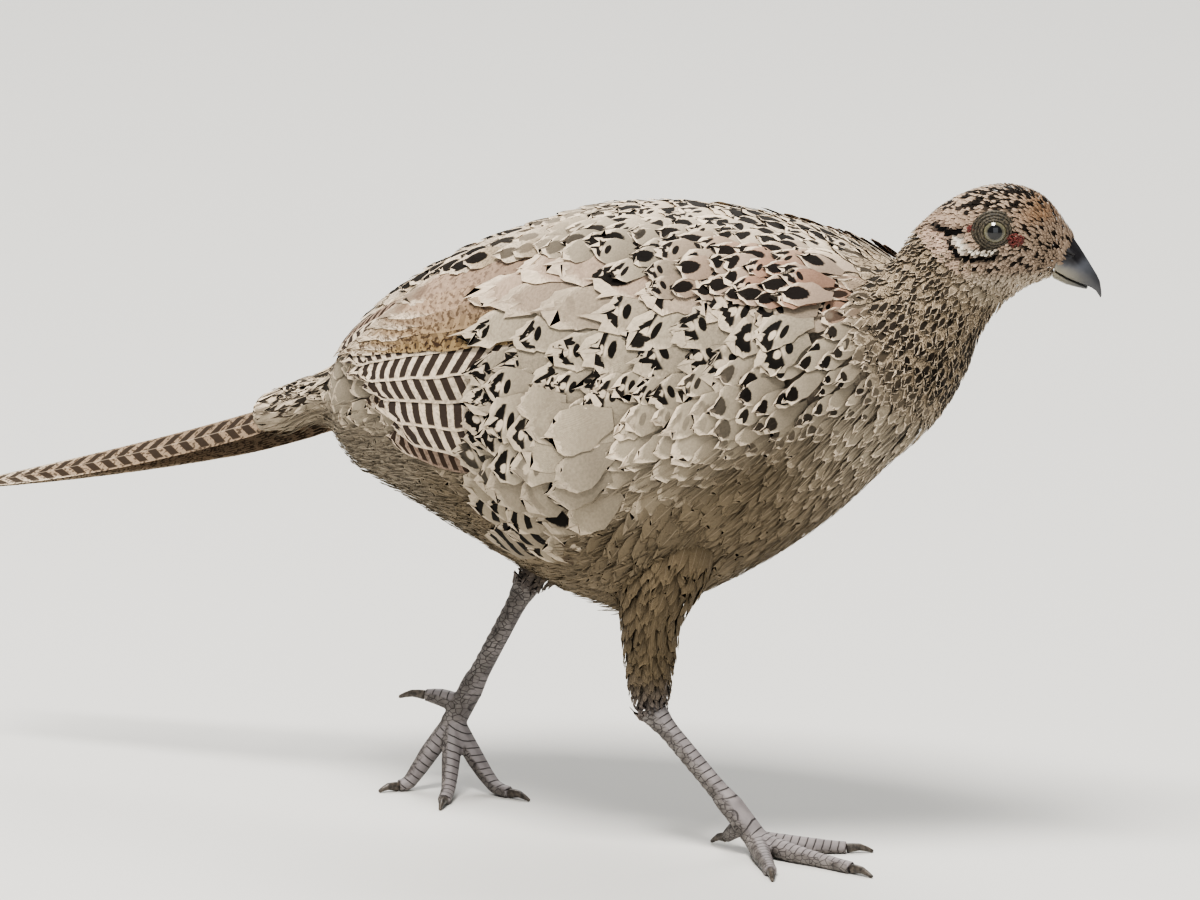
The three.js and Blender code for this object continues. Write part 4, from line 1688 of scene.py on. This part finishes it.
@dataclass(frozen=True)
class EyeFinish:
    """A pale grey-yellow iris round a black pupil, under a wet surface."""

    name: str
    middle: Triple
    look: Triple

    def make(self) -> bpy.types.Material:
        """Build the material.

        Returns:
            The material.
        """
        shader = Shader(self.name, 0.08, Coat_Weight=1.0, Coat_Roughness=0.03)
        offset = shader.vector("SUBTRACT", in0=shader.here(), in1=self.middle)
        depth = shader.vector("DOT_PRODUCT", in0=offset, in1=self.look)
        size = shader.vector("LENGTH", in0=offset)
        reach = ((size * size - depth * depth).most(0.0) ** 0.5) * 1000.0
        streaks = shader.noise(1400.0, 3.0) - 0.5
        iris = shader.mix(reach.ease(2.5, 3.6), (0.11, 0.105, 0.075), (0.24, 0.225, 0.15))
        iris = shader.mix((streaks * 1.4 + 0.3).most(0.0).least(1.0), iris, (0.09, 0.075, 0.04))
        colour = shader.mix(reach.ease(3.7, 3.95), iris, (0.04, 0.036, 0.028))
        colour = shader.mix(reach.ease(2.6, 2.35), colour, (0.003, 0.003, 0.004))
        shader.feed("Base Color", colour)
        return shader.material


@dataclass(frozen=True)
class SkinFinish:
    """Bare skin of one colour pair with fine grain."""

    name: str
    dark: Triple
    light: Triple
    roughness: float = 0.55
    grain: float = 1800.0
    depth: float = 0.0003

    @classmethod
    def lids(cls) -> bpy.types.Material:
        """The dark olive-grey lids."""
        return cls("lid_skin", (0.022, 0.019, 0.014), (0.12, 0.10, 0.07)).make()

    @classmethod
    def wattle(cls) -> bpy.types.Material:
        """The dull red bare face."""
        return cls("wattle_skin", (0.07, 0.014, 0.011), (0.19, 0.045, 0.034)).make()

    @classmethod
    def claw(cls) -> bpy.types.Material:
        """The dark, harder horn of the claws."""
        dark, light = (0.05, 0.042, 0.036), (0.13, 0.11, 0.09)
        return cls("claw_horn", dark, light, 0.35, 700.0, 0.0001).make()

    def make(self) -> bpy.types.Material:
        """Build the material.

        Returns:
            The material.
        """
        shader = Shader(self.name, self.roughness)
        noise = shader.noise(self.grain, 3.0)
        shader.feed("Base Color", shader.mix(noise.ease(0.35, 0.65), self.dark, self.light))
        shader.relief(noise, 0.5, self.depth)
        return shader.material


@dataclass
class Bill:
    """The horny bill in its two halves."""

    shape: BodyShape
    voxel: float = 0.32
    rounds: int = 8
    root: Triple = (171.0, 0.0, 209.0)
    tip: Triple = (185.6, 0.0, 195.2)

    def build(self) -> None:
        """Round off both halves and dress them."""
        finish = HornFinish(self._stands(self.root), self._stands(self.tip))
        for name in ("bill_upper", "bill_lower"):
            half = rounded_copy(f"horn_{name}", (name,), self.voxel, self.rounds)
            dress(half, finish.make(f"horn_{name}"))
            finish_piece(half, "bill_horn", name)

    def _stands(self, place: Triple) -> Triple:
        """Where a place of the straight head lies in the frame, in metres."""
        turned = self.shape.turned(np.array([place]), np.array([BILL_ROOT]))[0]
        return tuple((turned + self.shape.shift) * MM)


@dataclass(frozen=True)
class HornFinish:
    """Blue-grey horn, dark at the tip, with painted shade over the upper root round the nostrils.
    """

    root: Triple
    tip: Triple

    def make(self, name: str) -> bpy.types.Material:
        """Build the material.

        Args:
            name: The material's name.

        Returns:
            The material.
        """
        shader = Shader(name, 0.36, Coat_Weight=0.15)
        where = shader.here()
        way = Vector(self.tip) - Vector(self.root)
        offset = shader.vector("SUBTRACT", in0=where, in1=self.root)
        run = shader.vector("DOT_PRODUCT", in0=offset, in1=tuple(way / way.length_squared))
        height = (shader.split(where)[2] - self.root[2]) * 1000.0
        noise = shader.noise(420.0, 4.0) - 0.5
        run = run + noise * 0.12
        ridge = shader.mix(run.ease(0.25, 0.95), (0.105, 0.11, 0.125), (0.03, 0.029, 0.03))
        edge = shader.mix(run.ease(0.0, 0.8), (0.30, 0.27, 0.20), (0.09, 0.09, 0.095))
        colour = shader.mix((height + run * 9.0).ease(-3.5, 0.5), edge, ridge)
        # Painted shade: the upper bill's root, round the nostrils and under the brow feathers,
        # turns near black.
        nostril_shade = run.ease(0.44, 0.26) * (height + run * 9.0).ease(-1.5, 1.0)
        colour = shader.mix(nostril_shade, colour, (0.02, 0.018, 0.02))
        shader.feed("Base Color", colour)
        shader.feed("Roughness", 0.34 + noise * 0.25)
        shader.relief(shader.noise(900.0, 2.0, where), 0.2, 0.0002)
        return shader.material


@dataclass
class Wing:
    """A folded wing: its flight feathers under rows of coverts."""

    shape: BodyShape
    side: Side
    material: bpy.types.Material

    # Each row of coverts, from the rear: how many, the stations of the first and last root and
    # tip, the shares of the way across the wing of the first and last, and their width.
    COVERTS: ClassVar[tuple[tuple, ...]] = (
        (5, (5.5, 5.5), (3.7, 3.9), (0.36, 0.90), 11.5),
        (6, (6.1, 6.1), (4.3, 4.5), (0.24, 0.92), 11.5),
        (5, (6.7, 6.6), (4.9, 5.1), (0.30, 0.88), 11.5),
        (6, (7.2, 7.1), (5.5, 5.7), (0.22, 0.92), 11.0),
        (5, (7.7, 7.6), (6.1, 6.3), (0.28, 0.88), 11.0),
        (6, (8.2, 8.1), (6.7, 6.9), (0.20, 0.94), 10.0),
        (5, (8.6, 8.5), (7.3, 7.5), (0.22, 0.90), 9.5),
        (5, (9.0, 8.9), (7.8, 8.0), (0.16, 0.95), 9.0),
    )

    @property
    def sign(self) -> float:
        """-1 on the right and 1 on the left."""
        return float(self.side.value)

    def build(self) -> None:
        """Lay the rows from the flight feathers up."""
        seed = 60 if self.side is Side.RIGHT else 70
        random = np.random.default_rng(seed)
        build = FeatherMesh(self.shape, seed)
        self._long(build)
        self._coverts(build, random)
        self._scapulars(build, random)
        name = f"wing_{self.side.name.lower()}"
        finish_piece(build.build(f"plumes_{name}", self.material), "wing_feathers", name)

    def _row(
        self, build: FeatherMesh, roots: Array, tips: Array, width: Array,
        lifts: tuple[float, float], marks: Marks, roll: float, **form: object,
    ) -> None:
        """Add one row of feathers.

        Args:
            build: The mesh under way.
            roots: Station and degrees of each root.
            tips: Station and degrees of each tip.
            width: Width of each feather.
            lifts: Lift at the root and the tip.
            marks: Their marks.
            roll: How much the lower edge stands above the upper one.
            form: Other settings of the feathers.
        """
        sign = self.sign
        s, a = roots[:, 0], roots[:, 1]
        station, degree = self.shape.pace((s + tips[:, 0]) / 2, sign * (a + tips[:, 1]) / 2)
        back = (s - tips[:, 0]) * station
        down = (tips[:, 1] - a) * degree
        length = np.hypot(back, down)
        here, there = self.shape.pace(s, sign * a)
        turn = sign * np.arctan2((tips[:, 1] - a) * there, (s - tips[:, 0]) * here)
        stretch = np.hypot((s - tips[:, 0]) * here, (tips[:, 1] - a) * there) / length
        edge = 0.15 + 0.85 * smooth((a - wing_edge(s)[0]) / 22)
        build.add(Feathers(
            s, sign * a, length * stretch, width, lifts[0] * edge, lifts[1] * edge,
            turn, np.full(len(s), sign * roll), marks, layers=0.1, **form,
        ))

    @staticmethod
    def _spread(count: int, s: tuple[float, float], share: tuple[float, float]) -> Array:
        """Places in a line across the wing.

        Args:
            count: How many.
            s: Stations of the first and last.
            share: Shares of the way across of the first and last.

        Returns:
            Station and degrees of each.
        """
        stations = np.linspace(*s, count)
        upper, lower = wing_edge(stations)
        return np.stack([stations, upper + (lower - upper) * np.linspace(*share, count)], -1)

    def _long(self, build: FeatherMesh) -> None:
        """The primaries' ends, lowest, the secondaries over them and the tertials on top.

        Args:
            build: The mesh under way.
        """
        share = np.linspace(0, 1, 7)
        tertial = lerp(Ink.PINK_BUFF.rows(7, 1.1), Ink.OCHRE.rgb * 1.05, share)
        cream = Ink.CREAM.rows(7)
        rows = (
            (5, (4.4, 4.2), (0.3, 1.0), (0.5, 2.3), (0.5, 1.02), 13.0, (0.6, 1.4), 0.3,
             Marks(Ink.PINK_BUFF.rows(5, 0.9), cream[:5], Ink.UMBER.rows(5, 0.9),
                   {"bars": 1.0, "pitch": 9.0, "slant": 0.3, "freckle": 0.4}),
             {"rows": 16, "round_from": 0.8, "ragged": 0.02}),
            (6, (4.9, 4.9), (0.40, 0.92), (0.75, 2.5), (0.62, 0.93), 17.0, (1.2, 2.6), 0.5,
             Marks(cream[:6], Ink.CREAM.rows(6, 1.05), Ink.WING_BAR.rows(6),
                   {"bars": 1.0, "pitch": 8.6, "slant": -0.08, "freckle": 0.30}),
             {"rows": 20, "round_from": 0.85, "ragged": 0.02}),
            (7, (5.2, 5.2), (0.16, 0.55), (2.6, 1.0), (0.22, 0.62), 18.0, (1.6, 3.2), 0.5,
             Marks(tertial, cream, Ink.UMBER.rows(7),
                   {"freckle": 0.35 + 0.65 * share, "bars": 0.5 * share, "pitch": 11.0,
                    "slant": 0.7, "streak": 0.5 * (share < 0.4)}),
             {"rows": 18, "round_from": 0.7, "cup": 0.08, "ragged": 0.03}),
        )
        for count, root, across, tip, reach, width, lifts, roll, marks, form in rows:
            roots, tips = self._spread(count, root, across), self._spread(count, tip, reach)
            wide = np.full(count, width)
            self._row(build, roots, tips, wide, lifts, marks, roll, columns=7, **form)

    def _coverts(self, build: FeatherMesh, random: np.random.Generator) -> None:
        """The rows of coverts, with their crescents.

        Args:
            build: The mesh under way.
            random: Random numbers.
        """
        for number, (count, root, tip, share, width) in enumerate(self.COVERTS):
            roots = self._spread(count, root, share)
            tips = self._spread(count, tip, share)
            wander = 1.2 * random.standard_normal(count)
            roots[:, 1] += wander
            tips[:, 1] += wander + 0.6 * random.standard_normal(count)
            tips[:, 0] += 0.12 * random.standard_normal(count)
            marks = self._covert_marks(roots[:, 1], number, random)
            sizes = width * (1.14 + 0.06 * random.standard_normal(count))
            self._row(build, roots, tips, sizes, (0.6, 3.7), marks, 0.25,
                      rows=13, round_from=0.80, heart=1.05)

    def _scapulars(self, build: FeatherMesh, random: np.random.Generator) -> None:
        """The many small feathers of the shoulder that lie over the wing's upper edge.

        Args:
            build: The mesh under way.
            random: Random numbers.
        """
        sign = self.sign

        def gap(s: Array, angle: Array) -> Array:
            """Room between roots, 0 where none grow."""
            inside = (angle * sign > 14) & (angle * sign < 34 + 16 * smooth((s - 5.0) / 2.6))
            return np.where(inside, 5.4 - 0.9 * smooth((s - 5.5) / 3.5), 0.0)

        s, angle = scatter(self.shape, 3.6, 9.5, gap, seed=7, tries=30000)
        count = len(s)
        marks = PlumageMap(s, angle, random).marks()
        length = 18 - 5.5 * smooth((s - 5.5) / 4)
        length = length * (1 + 0.10 * random.standard_normal(count))
        inner = smooth((np.abs(angle) - 12) / 30)
        build.add(Feathers(
            s, angle, length, length * 0.52, -1.6 + 3.4 * inner, 0.3 + 4.6 * inner,
            sign * 0.12 + 0.10 * random.standard_normal(count),
            0.04 * random.standard_normal(count), marks, rows=8,
        ))

    @staticmethod
    def _covert_marks(a: Array, number: int, random: np.random.Generator) -> Marks:
        """The marks of one row of coverts.

        Args:
            a: Degrees from the back of each root.
            number: The row's number, from the rear.
            random: Random numbers.

        Returns:
            The marks of each feather.
        """
        count = len(a)
        luck = random.random(count)
        upper = smooth((58 - a) / 14)
        ground = lerp(Ink.GREY_BUFF.rows(count, 1.05), Ink.PINK_BUFF.rgb * 1.15, upper * 0.7)
        ground = lerp(ground, Ink.CHESTNUT.rgb, upper * (number > 4) * (luck > 0.4) * 0.5)
        fringe = lerp(Ink.CREAM.rows(count), ground * 1.1, 0.5 * (1 - upper))
        plain = (number < 3) & (a < 56) & (luck > 0.25)
        crescent = np.where(plain, 0.15, np.where((a > 46) | (luck > 0.55), 1.0, 0.0))
        return Marks(ground, fringe, Ink.BLACK.rows(count), {
            "crescent": crescent,
            "streak": np.where((a <= 46) & (luck <= 0.55) & ~plain, 1.0, 0.0),
            "freckle": 0.12,
        })


@dataclass
class Tail:
    """Eighteen graduated tail feathers under their coverts.

    The feathers run back from start, fall degrees down there and rise degrees less at the end.
    roof is the slope of both sides, apart how far each lies outside and below the one before,
    step how much shorter it is, by eased less for the first, and narrower how much narrower.
    """

    shape: BodyShape
    material: bpy.types.Material
    start: Triple = (-102.0, 0.0, 142.5)
    fall: float = 21.5
    rise: float = 4.0
    pairs: int = 9
    roof: float = 38.0
    apart: float = 0.98
    longest: float = 158.0
    step: float = 13.0
    eased: float = 6.0
    width: float = 13.5
    narrower: float = 0.75
    columns: int = 7
    rows: int = 40
    coverts: int = 420

    def build(self) -> None:
        """Lay the feathers and their coverts."""
        maker = FeatherMesh(self.shape, 80)
        vane = maker.template(self.columns, self.rows)
        for sign in (-1.0, 1.0):
            for k in range(self.pairs):
                self._feather(maker, vane, sign, k)
        self._coverts(maker)
        finish_piece(maker.build("tail_feathers", self.material), "tail_feathers", "tail")

    def _points(self, u: Array, v: Array, below: Array, sign: float, k: int) -> Array:
        """Bend one tail feather.

        Args:
            u: Points across.
            v: Points along.
            below: Which are on the underside.
            sign: Its side.
            k: Its number from the middle out.

        Returns:
            Places in millimetres.
        """
        length = self.longest - self.step * k + (self.eased if k else 0)
        roof = math.radians(self.roof)
        inner = 0.3 + k * self.apart * math.tan(roof)
        late = np.clip((v - 0.45) / 0.55, 0, 1)
        blade = (0.5 + 0.5 * smooth(v / 0.25)) * np.maximum(np.sqrt(1 - late**2.4), 0.03)
        fall = np.radians(self.fall - self.rise * v * length / self.longest)
        wide = (self.width - self.narrower * k) * (1 - 0.42 * v**1.4)
        reach = inner + wide * 0.5 * (1 + u * blade)
        depth = -k * self.apart + 0.5 * (0.5 - below) * (1 - u**2) * (1 - v**4) - 0.25 * u**2
        along = np.stack([-np.cos(fall), 0 * fall, -np.sin(fall)], -1)
        up = np.stack([-np.sin(fall), 0 * fall, np.cos(fall)], -1)
        points = np.array(self.start) + along * (v * length)[:, None]
        points = points + up * (depth * math.cos(roof) - reach * math.sin(roof))[:, None]
        points[:, 1] += sign * (reach * math.cos(roof) + depth * math.sin(roof))
        return points + self.shape.shift

    def _feather(
        self, maker: FeatherMesh, vane: tuple[Array, ...], sign: float, k: int
    ) -> None:
        """Put one tail feather into the mesh.

        Args:
            maker: The mesh under way.
            vane: The grid of a vane.
            sign: Its side.
            k: Its number from the middle out.
        """
        home = np.array([0.5 + sign * (0.03 + 0.045 * k), 0.02])
        place = home + np.stack([vane[0] * 0.015, vane[1] * 0.9], -1)
        ground = lerp(Ink.BUFF.rgb, Ink.PINK_BUFF.rgb, 0.4) * 0.9
        colours = {"ground": ground, "fringe": Ink.CREAM.rgb, "ink": Ink.TAIL_BAR.rgb}
        values = {"bars": 0.92, "pitch": 6.4, "slant": 0.8, "freckle": 0.75, "shaft": 0.6,
                  "luck": 0.3 * (maker.random.random() - 0.5),
                  "aspect": 2 * (self.longest - self.step * k) / self.width}
        maker.put(self._points(*vane[:3], sign, k)[None], vane, place[None], colours, values)

    def _coverts(self, maker: FeatherMesh) -> None:
        """The feathers of the rump that lie over and under the tail's root.

        Args:
            maker: The mesh under way.
        """
        random = np.random.default_rng(81)
        count = self.coverts
        angle = random.uniform(-180, 180, count)
        s = random.uniform(-0.5, 1.2, count)
        marks = PlumageMap(s, angle, random).marks()
        above = np.abs(angle) < 100
        marks.ground = lerp(marks.ground, Ink.CREAM.rgb, 0.35)
        marks.strengths = {
            "bars": np.where(above, 0.95, 0.3 * (random.random(count) > 0.6)),
            "pitch": 3.4,
            "slant": 0.5,
            "freckle": np.where(above, 0.35, 0.15),
        }
        length = np.where(above, 30.0, 26.0) * (1 + 0.16 * random.standard_normal(count))
        maker.add(Feathers(
            s, angle, length, length * 0.36, np.full(count, -2.2),
            -0.3 - 1.5 * smooth(-s / 0.4),
            0.16 * random.standard_normal(count), 0.08 * random.standard_normal(count),
            marks, columns=7, round_from=0.4, ragged=0.12, layers=1.6,
        ))


@dataclass
class Leg:
    """One leg: feathered thigh, scaled shank and foot, and claws."""

    shape: BodyShape
    side: Side
    feathers: bpy.types.Material
    scales: bpy.types.Material
    claws: bpy.types.Material
    scale_voxel: float = 0.55
    claw_voxel: float = 0.2
    claw_swell: float = 0.28
    rounds: int = 5

    # The ball of each foot, where the toes meet.
    BALLS: ClassVar[dict[Side, Triple]] = {
        Side.RIGHT: (65.2, -22.8, 12.0), Side.LEFT: (-64.8, 22.6, 30.0),
    }
    # The way that the leg's large front plates face.
    FRONT: ClassVar[Triple] = (0.75, 0.0, 0.66)
    # From the hip to the ankle: x, y and z of the middle, half the depth and half the width.
    THIGHS: ClassVar[dict[Side, list[list[float]]]] = {
        Side.RIGHT: [
            [43, -27, 116, 21, 12], [41, -30.5, 97, 17.5, 12.5], [37.5, -30.5, 80, 11, 10],
            [35.5, -28, 66, 9, 8], [34.5, -26.3, 55, 7.6, 6.6], [34.5, -25.5, 47.6, 5.6, 5.2],
        ],
        Side.LEFT: [
            [12, 25, 116, 21, 12], [-4, 28.5, 102, 17.5, 12.5], [-20, 29, 92, 10.5, 9.5],
            [-33, 26.5, 82.5, 7.4, 6.8], [-42.2, 25.2, 75.4, 5.6, 5.2],
        ],
    }

    def build(self) -> None:
        """Dress the whole leg."""
        name = self.side.name.lower()
        self._thigh(name)
        nodes = (f"shank_{name}", f"foot_{name}")
        bare = rounded_copy(f"scaled_leg_{name}", nodes, self.scale_voxel, self.rounds)
        dress(bare, self.scales)
        self._plates(bare)
        finish_piece(bare, "leg_scales", *nodes)
        for toe in ("inner", "middle", "outer", "hind"):
            node = f"claw_{toe}_{name}"
            claw = rounded_copy(f"horn_{node}", (node,), self.claw_voxel, self.rounds)
            apply(claw, "DISPLACE", strength=self.claw_swell * MM, mid_level=0.0)
            dress(claw, self.claws)
            finish_piece(claw, "claw_horn", node)

    def _plates(self, bare: bpy.types.Object) -> None:
        """Tell the finish how far each place is from the foot's ball, and which way it faces.

        Args:
            bare: The shank and foot.
        """
        mesh = bare.data
        place = np.empty(len(mesh.vertices) * 3, dtype=np.float32)
        mesh.vertices.foreach_get("co", place)
        facing = np.empty_like(place)
        mesh.vertices.foreach_get("normal", facing)
        ball = np.array(self.BALLS[self.side]) + self.shape.shift
        run = np.linalg.norm(place.reshape(-1, 3) / MM - ball, axis=1)
        front = smooth((facing.reshape(-1, 3) @ np.array(self.FRONT) - 0.1) / 0.4)
        store(mesh, "run", run)
        store(mesh, "front", front)

    def _thigh(self, name: str) -> None:
        """The small feathers of the upper leg.

        Args:
            name: The side's name.
        """
        limb = LimbShape(self.THIGHS[self.side], self.shape.shift)
        seed = 90 if self.side is Side.RIGHT else 95
        s, angle = scatter(
            limb, 0.0, 1.0, lambda s, _: 1.6 + 1.5 * smooth((s - 0.1) / 0.7), seed, 12000
        )
        random = np.random.default_rng(seed)
        count = len(s)
        lower = smooth((0.5 - s) / 0.5)
        # The thigh's upper part takes the belly colour with its painted shade; the lower part turns
        # grey.
        ground = lerp(Ink.SHADED_BELLY.rows(count, 0.95), Ink.GREY.rgb * 1.1, lower)
        strengths = {"freckle": 0.25, "shaft": 0.3}
        marks = Marks(ground, ground * 1.2, Ink.UMBER.rows(count), strengths)
        length = 4.5 + 7 * smooth((s - 0.05) / 0.6)
        grow(f"coat_thigh_{name}", limb, seed, Feathers(
            s, angle, length, length * 0.36, np.full(count, -1.6), np.full(count, 0.4),
            0.12 * random.standard_normal(count), 0.03 * random.standard_normal(count), marks,
            columns=5, rows=6, round_from=0.4, ragged=0.12,
        ), self.feathers)


@dataclass(frozen=True)
class ScaleFinish:
    """Dry grey-brown scales with darker joints."""

    def make(self) -> bpy.types.Material:
        """Build the material.

        Returns:
            The material.
        """
        shader = Shader("leg_scales", 0.5)
        squeeze = shader.node("ShaderNodeMapping", Vector=shader.here(), Scale=(1.0, 1.0, 1.5))
        plates = shader.node(
            "ShaderNodeTexVoronoi", {"feature": "DISTANCE_TO_EDGE"}, "Distance",
            Vector=squeeze, Scale=420.0,
        )
        tone = shader.noise(160.0, 3.0)
        colour = shader.mix(tone.ease(0.3, 0.7), (0.12, 0.105, 0.095), (0.27, 0.245, 0.23))
        front = shader.attribute("front")
        rings = (shader.attribute("run") * 2.4 + tone * 2.5).sine().ease(0.80, 0.98)
        joints = front * rings + (1.0 - front) * plates.ease(0.10, 0.0)
        colour = shader.mix(front * 0.55, colour, (0.33, 0.30, 0.305))
        colour = shader.mix(joints * 0.9, colour, (0.045, 0.038, 0.036))
        shader.feed("Base Color", colour)
        shader.feed("Roughness", 0.42 + tone * 0.25)
        shader.relief(1.0 - joints, 0.6, 0.0005)
        return shader.material


@dataclass(frozen=True)
class Lamp:
    """One soft square light, in metres and watts, aimed at the bird."""

    name: str
    place: Triple
    size: float
    power: float
    colour: Triple

    AIM: ClassVar[Triple] = (0, 0, 0.12)

    def hang(self) -> None:
        """Put it up."""
        data = bpy.data.lights.new(self.name, "AREA")
        data.size = self.size
        data.energy = self.power
        data.color = self.colour
        light = bpy.data.objects.new(self.name, data)
        bpy.context.scene.collection.objects.link(light)
        light.location = self.place
        way = Vector(self.AIM) - Vector(self.place)
        light.rotation_euler = way.to_track_quat("-Z", "Y").to_euler()


@dataclass
class Studio:
    """Floor, lights and the camera of the photograph's view.

    The camera stands azimuth degrees from the bird's right side and elevation degrees up, and
    looks at a height aim; a pixel of the picture covers scale millimetres there.
    """

    azimuth: float = 30.0
    elevation: float = 11.0
    scale: float = 0.34
    pixels: int = 1200
    sensor: float = 36.0
    distance: float = 6000.0
    aim: float = 128.7
    sky: float = 0.36

    LAMPS: ClassVar[tuple[Lamp, ...]] = (
        Lamp("key", (0.2, -1.2, 2.9), 1.1, 104.0, (1.0, 0.97, 0.93)),
        Lamp("fill", (1.8, -2.4, 1.2), 2.4, 17.0, (0.94, 0.97, 1.0)),
        Lamp("back", (-1.0, 1.8, 2.4), 1.6, 42.0, (1.0, 0.99, 0.97)),
    )

    def build(self, shape: BodyShape) -> None:
        """Set up the studio.

        Args:
            shape: The bird's shape, which says where the origin lies.
        """
        self._floor()
        self._camera(shape)
        for lamp in self.LAMPS:
            lamp.hang()
        world = bpy.data.worlds.new("studio_air")
        bpy.context.scene.world = world
        world.use_nodes = True
        background = world.node_tree.nodes["Background"]
        background.inputs["Color"].default_value = (0.86, 0.88, 0.9, 1.0)
        background.inputs["Strength"].default_value = self.sky
        bpy.context.scene.view_settings.view_transform = "AgX"
        bpy.context.scene.view_settings.look = "AgX - High Contrast"

    @staticmethod
    def _floor() -> None:
        """A wide pale floor."""
        deselect()
        bpy.ops.mesh.primitive_plane_add(size=60, location=(0, 0, 0))
        floor = bpy.context.object
        floor.name = "floor"
        shader = Shader("floor", 0.8)
        noise = shader.noise(3.0, 2.0)
        shader.feed("Base Color", shader.mix(noise, (0.70, 0.69, 0.66), (0.73, 0.72, 0.69)))
        floor.data.materials.append(shader.material)

    def _camera(self, shape: BodyShape) -> None:
        """The camera, as far away and as low as the photographer's.

        Args:
            shape: The bird's shape, which says where the origin lies.
        """
        a, e = math.radians(self.azimuth), math.radians(self.elevation)
        back = Vector((math.sin(a) * math.cos(e), -math.cos(a) * math.cos(e), math.sin(e)))
        aim = Vector((shape.shift[0], shape.shift[1], self.aim)) * MM
        data = bpy.data.cameras.new("camera")
        camera = bpy.data.objects.new("camera", data)
        bpy.context.scene.collection.objects.link(camera)
        camera.location = aim + back * self.distance * MM
        camera.rotation_euler = (-back).to_track_quat("-Z", "Y").to_euler()
        data.sensor_width = self.sensor
        data.lens = self.distance * self.sensor / (self.pixels * self.scale)
        data.clip_end = 100.0
        bpy.context.scene.camera = camera


def main() -> None:
    """Build the bird and its studio in order."""
    logging.basicConfig(level=logging.INFO, format="%(message)s")
    shape = BodyShape()
    Studio().build(shape)
    feathers = FeatherFinish().make()
    coat = Coat(shape, feathers)
    coat.skin()
    coat.torso()
    coat.flanks()
    coat.neck()
    coat.fluff()
    head = Head(shape, feathers)
    head.feathers()
    head.eyes()
    head.bare_face()
    Bill(shape).build()
    scales = ScaleFinish().make()
    claws = SkinFinish.claw()
    for side in Side:
        Wing(shape, side, feathers).build()
        Leg(shape, side, feathers, scales, claws).build()
    Tail(shape, feathers).build()
    deselect()


if __name__ == "__main__":
    main()
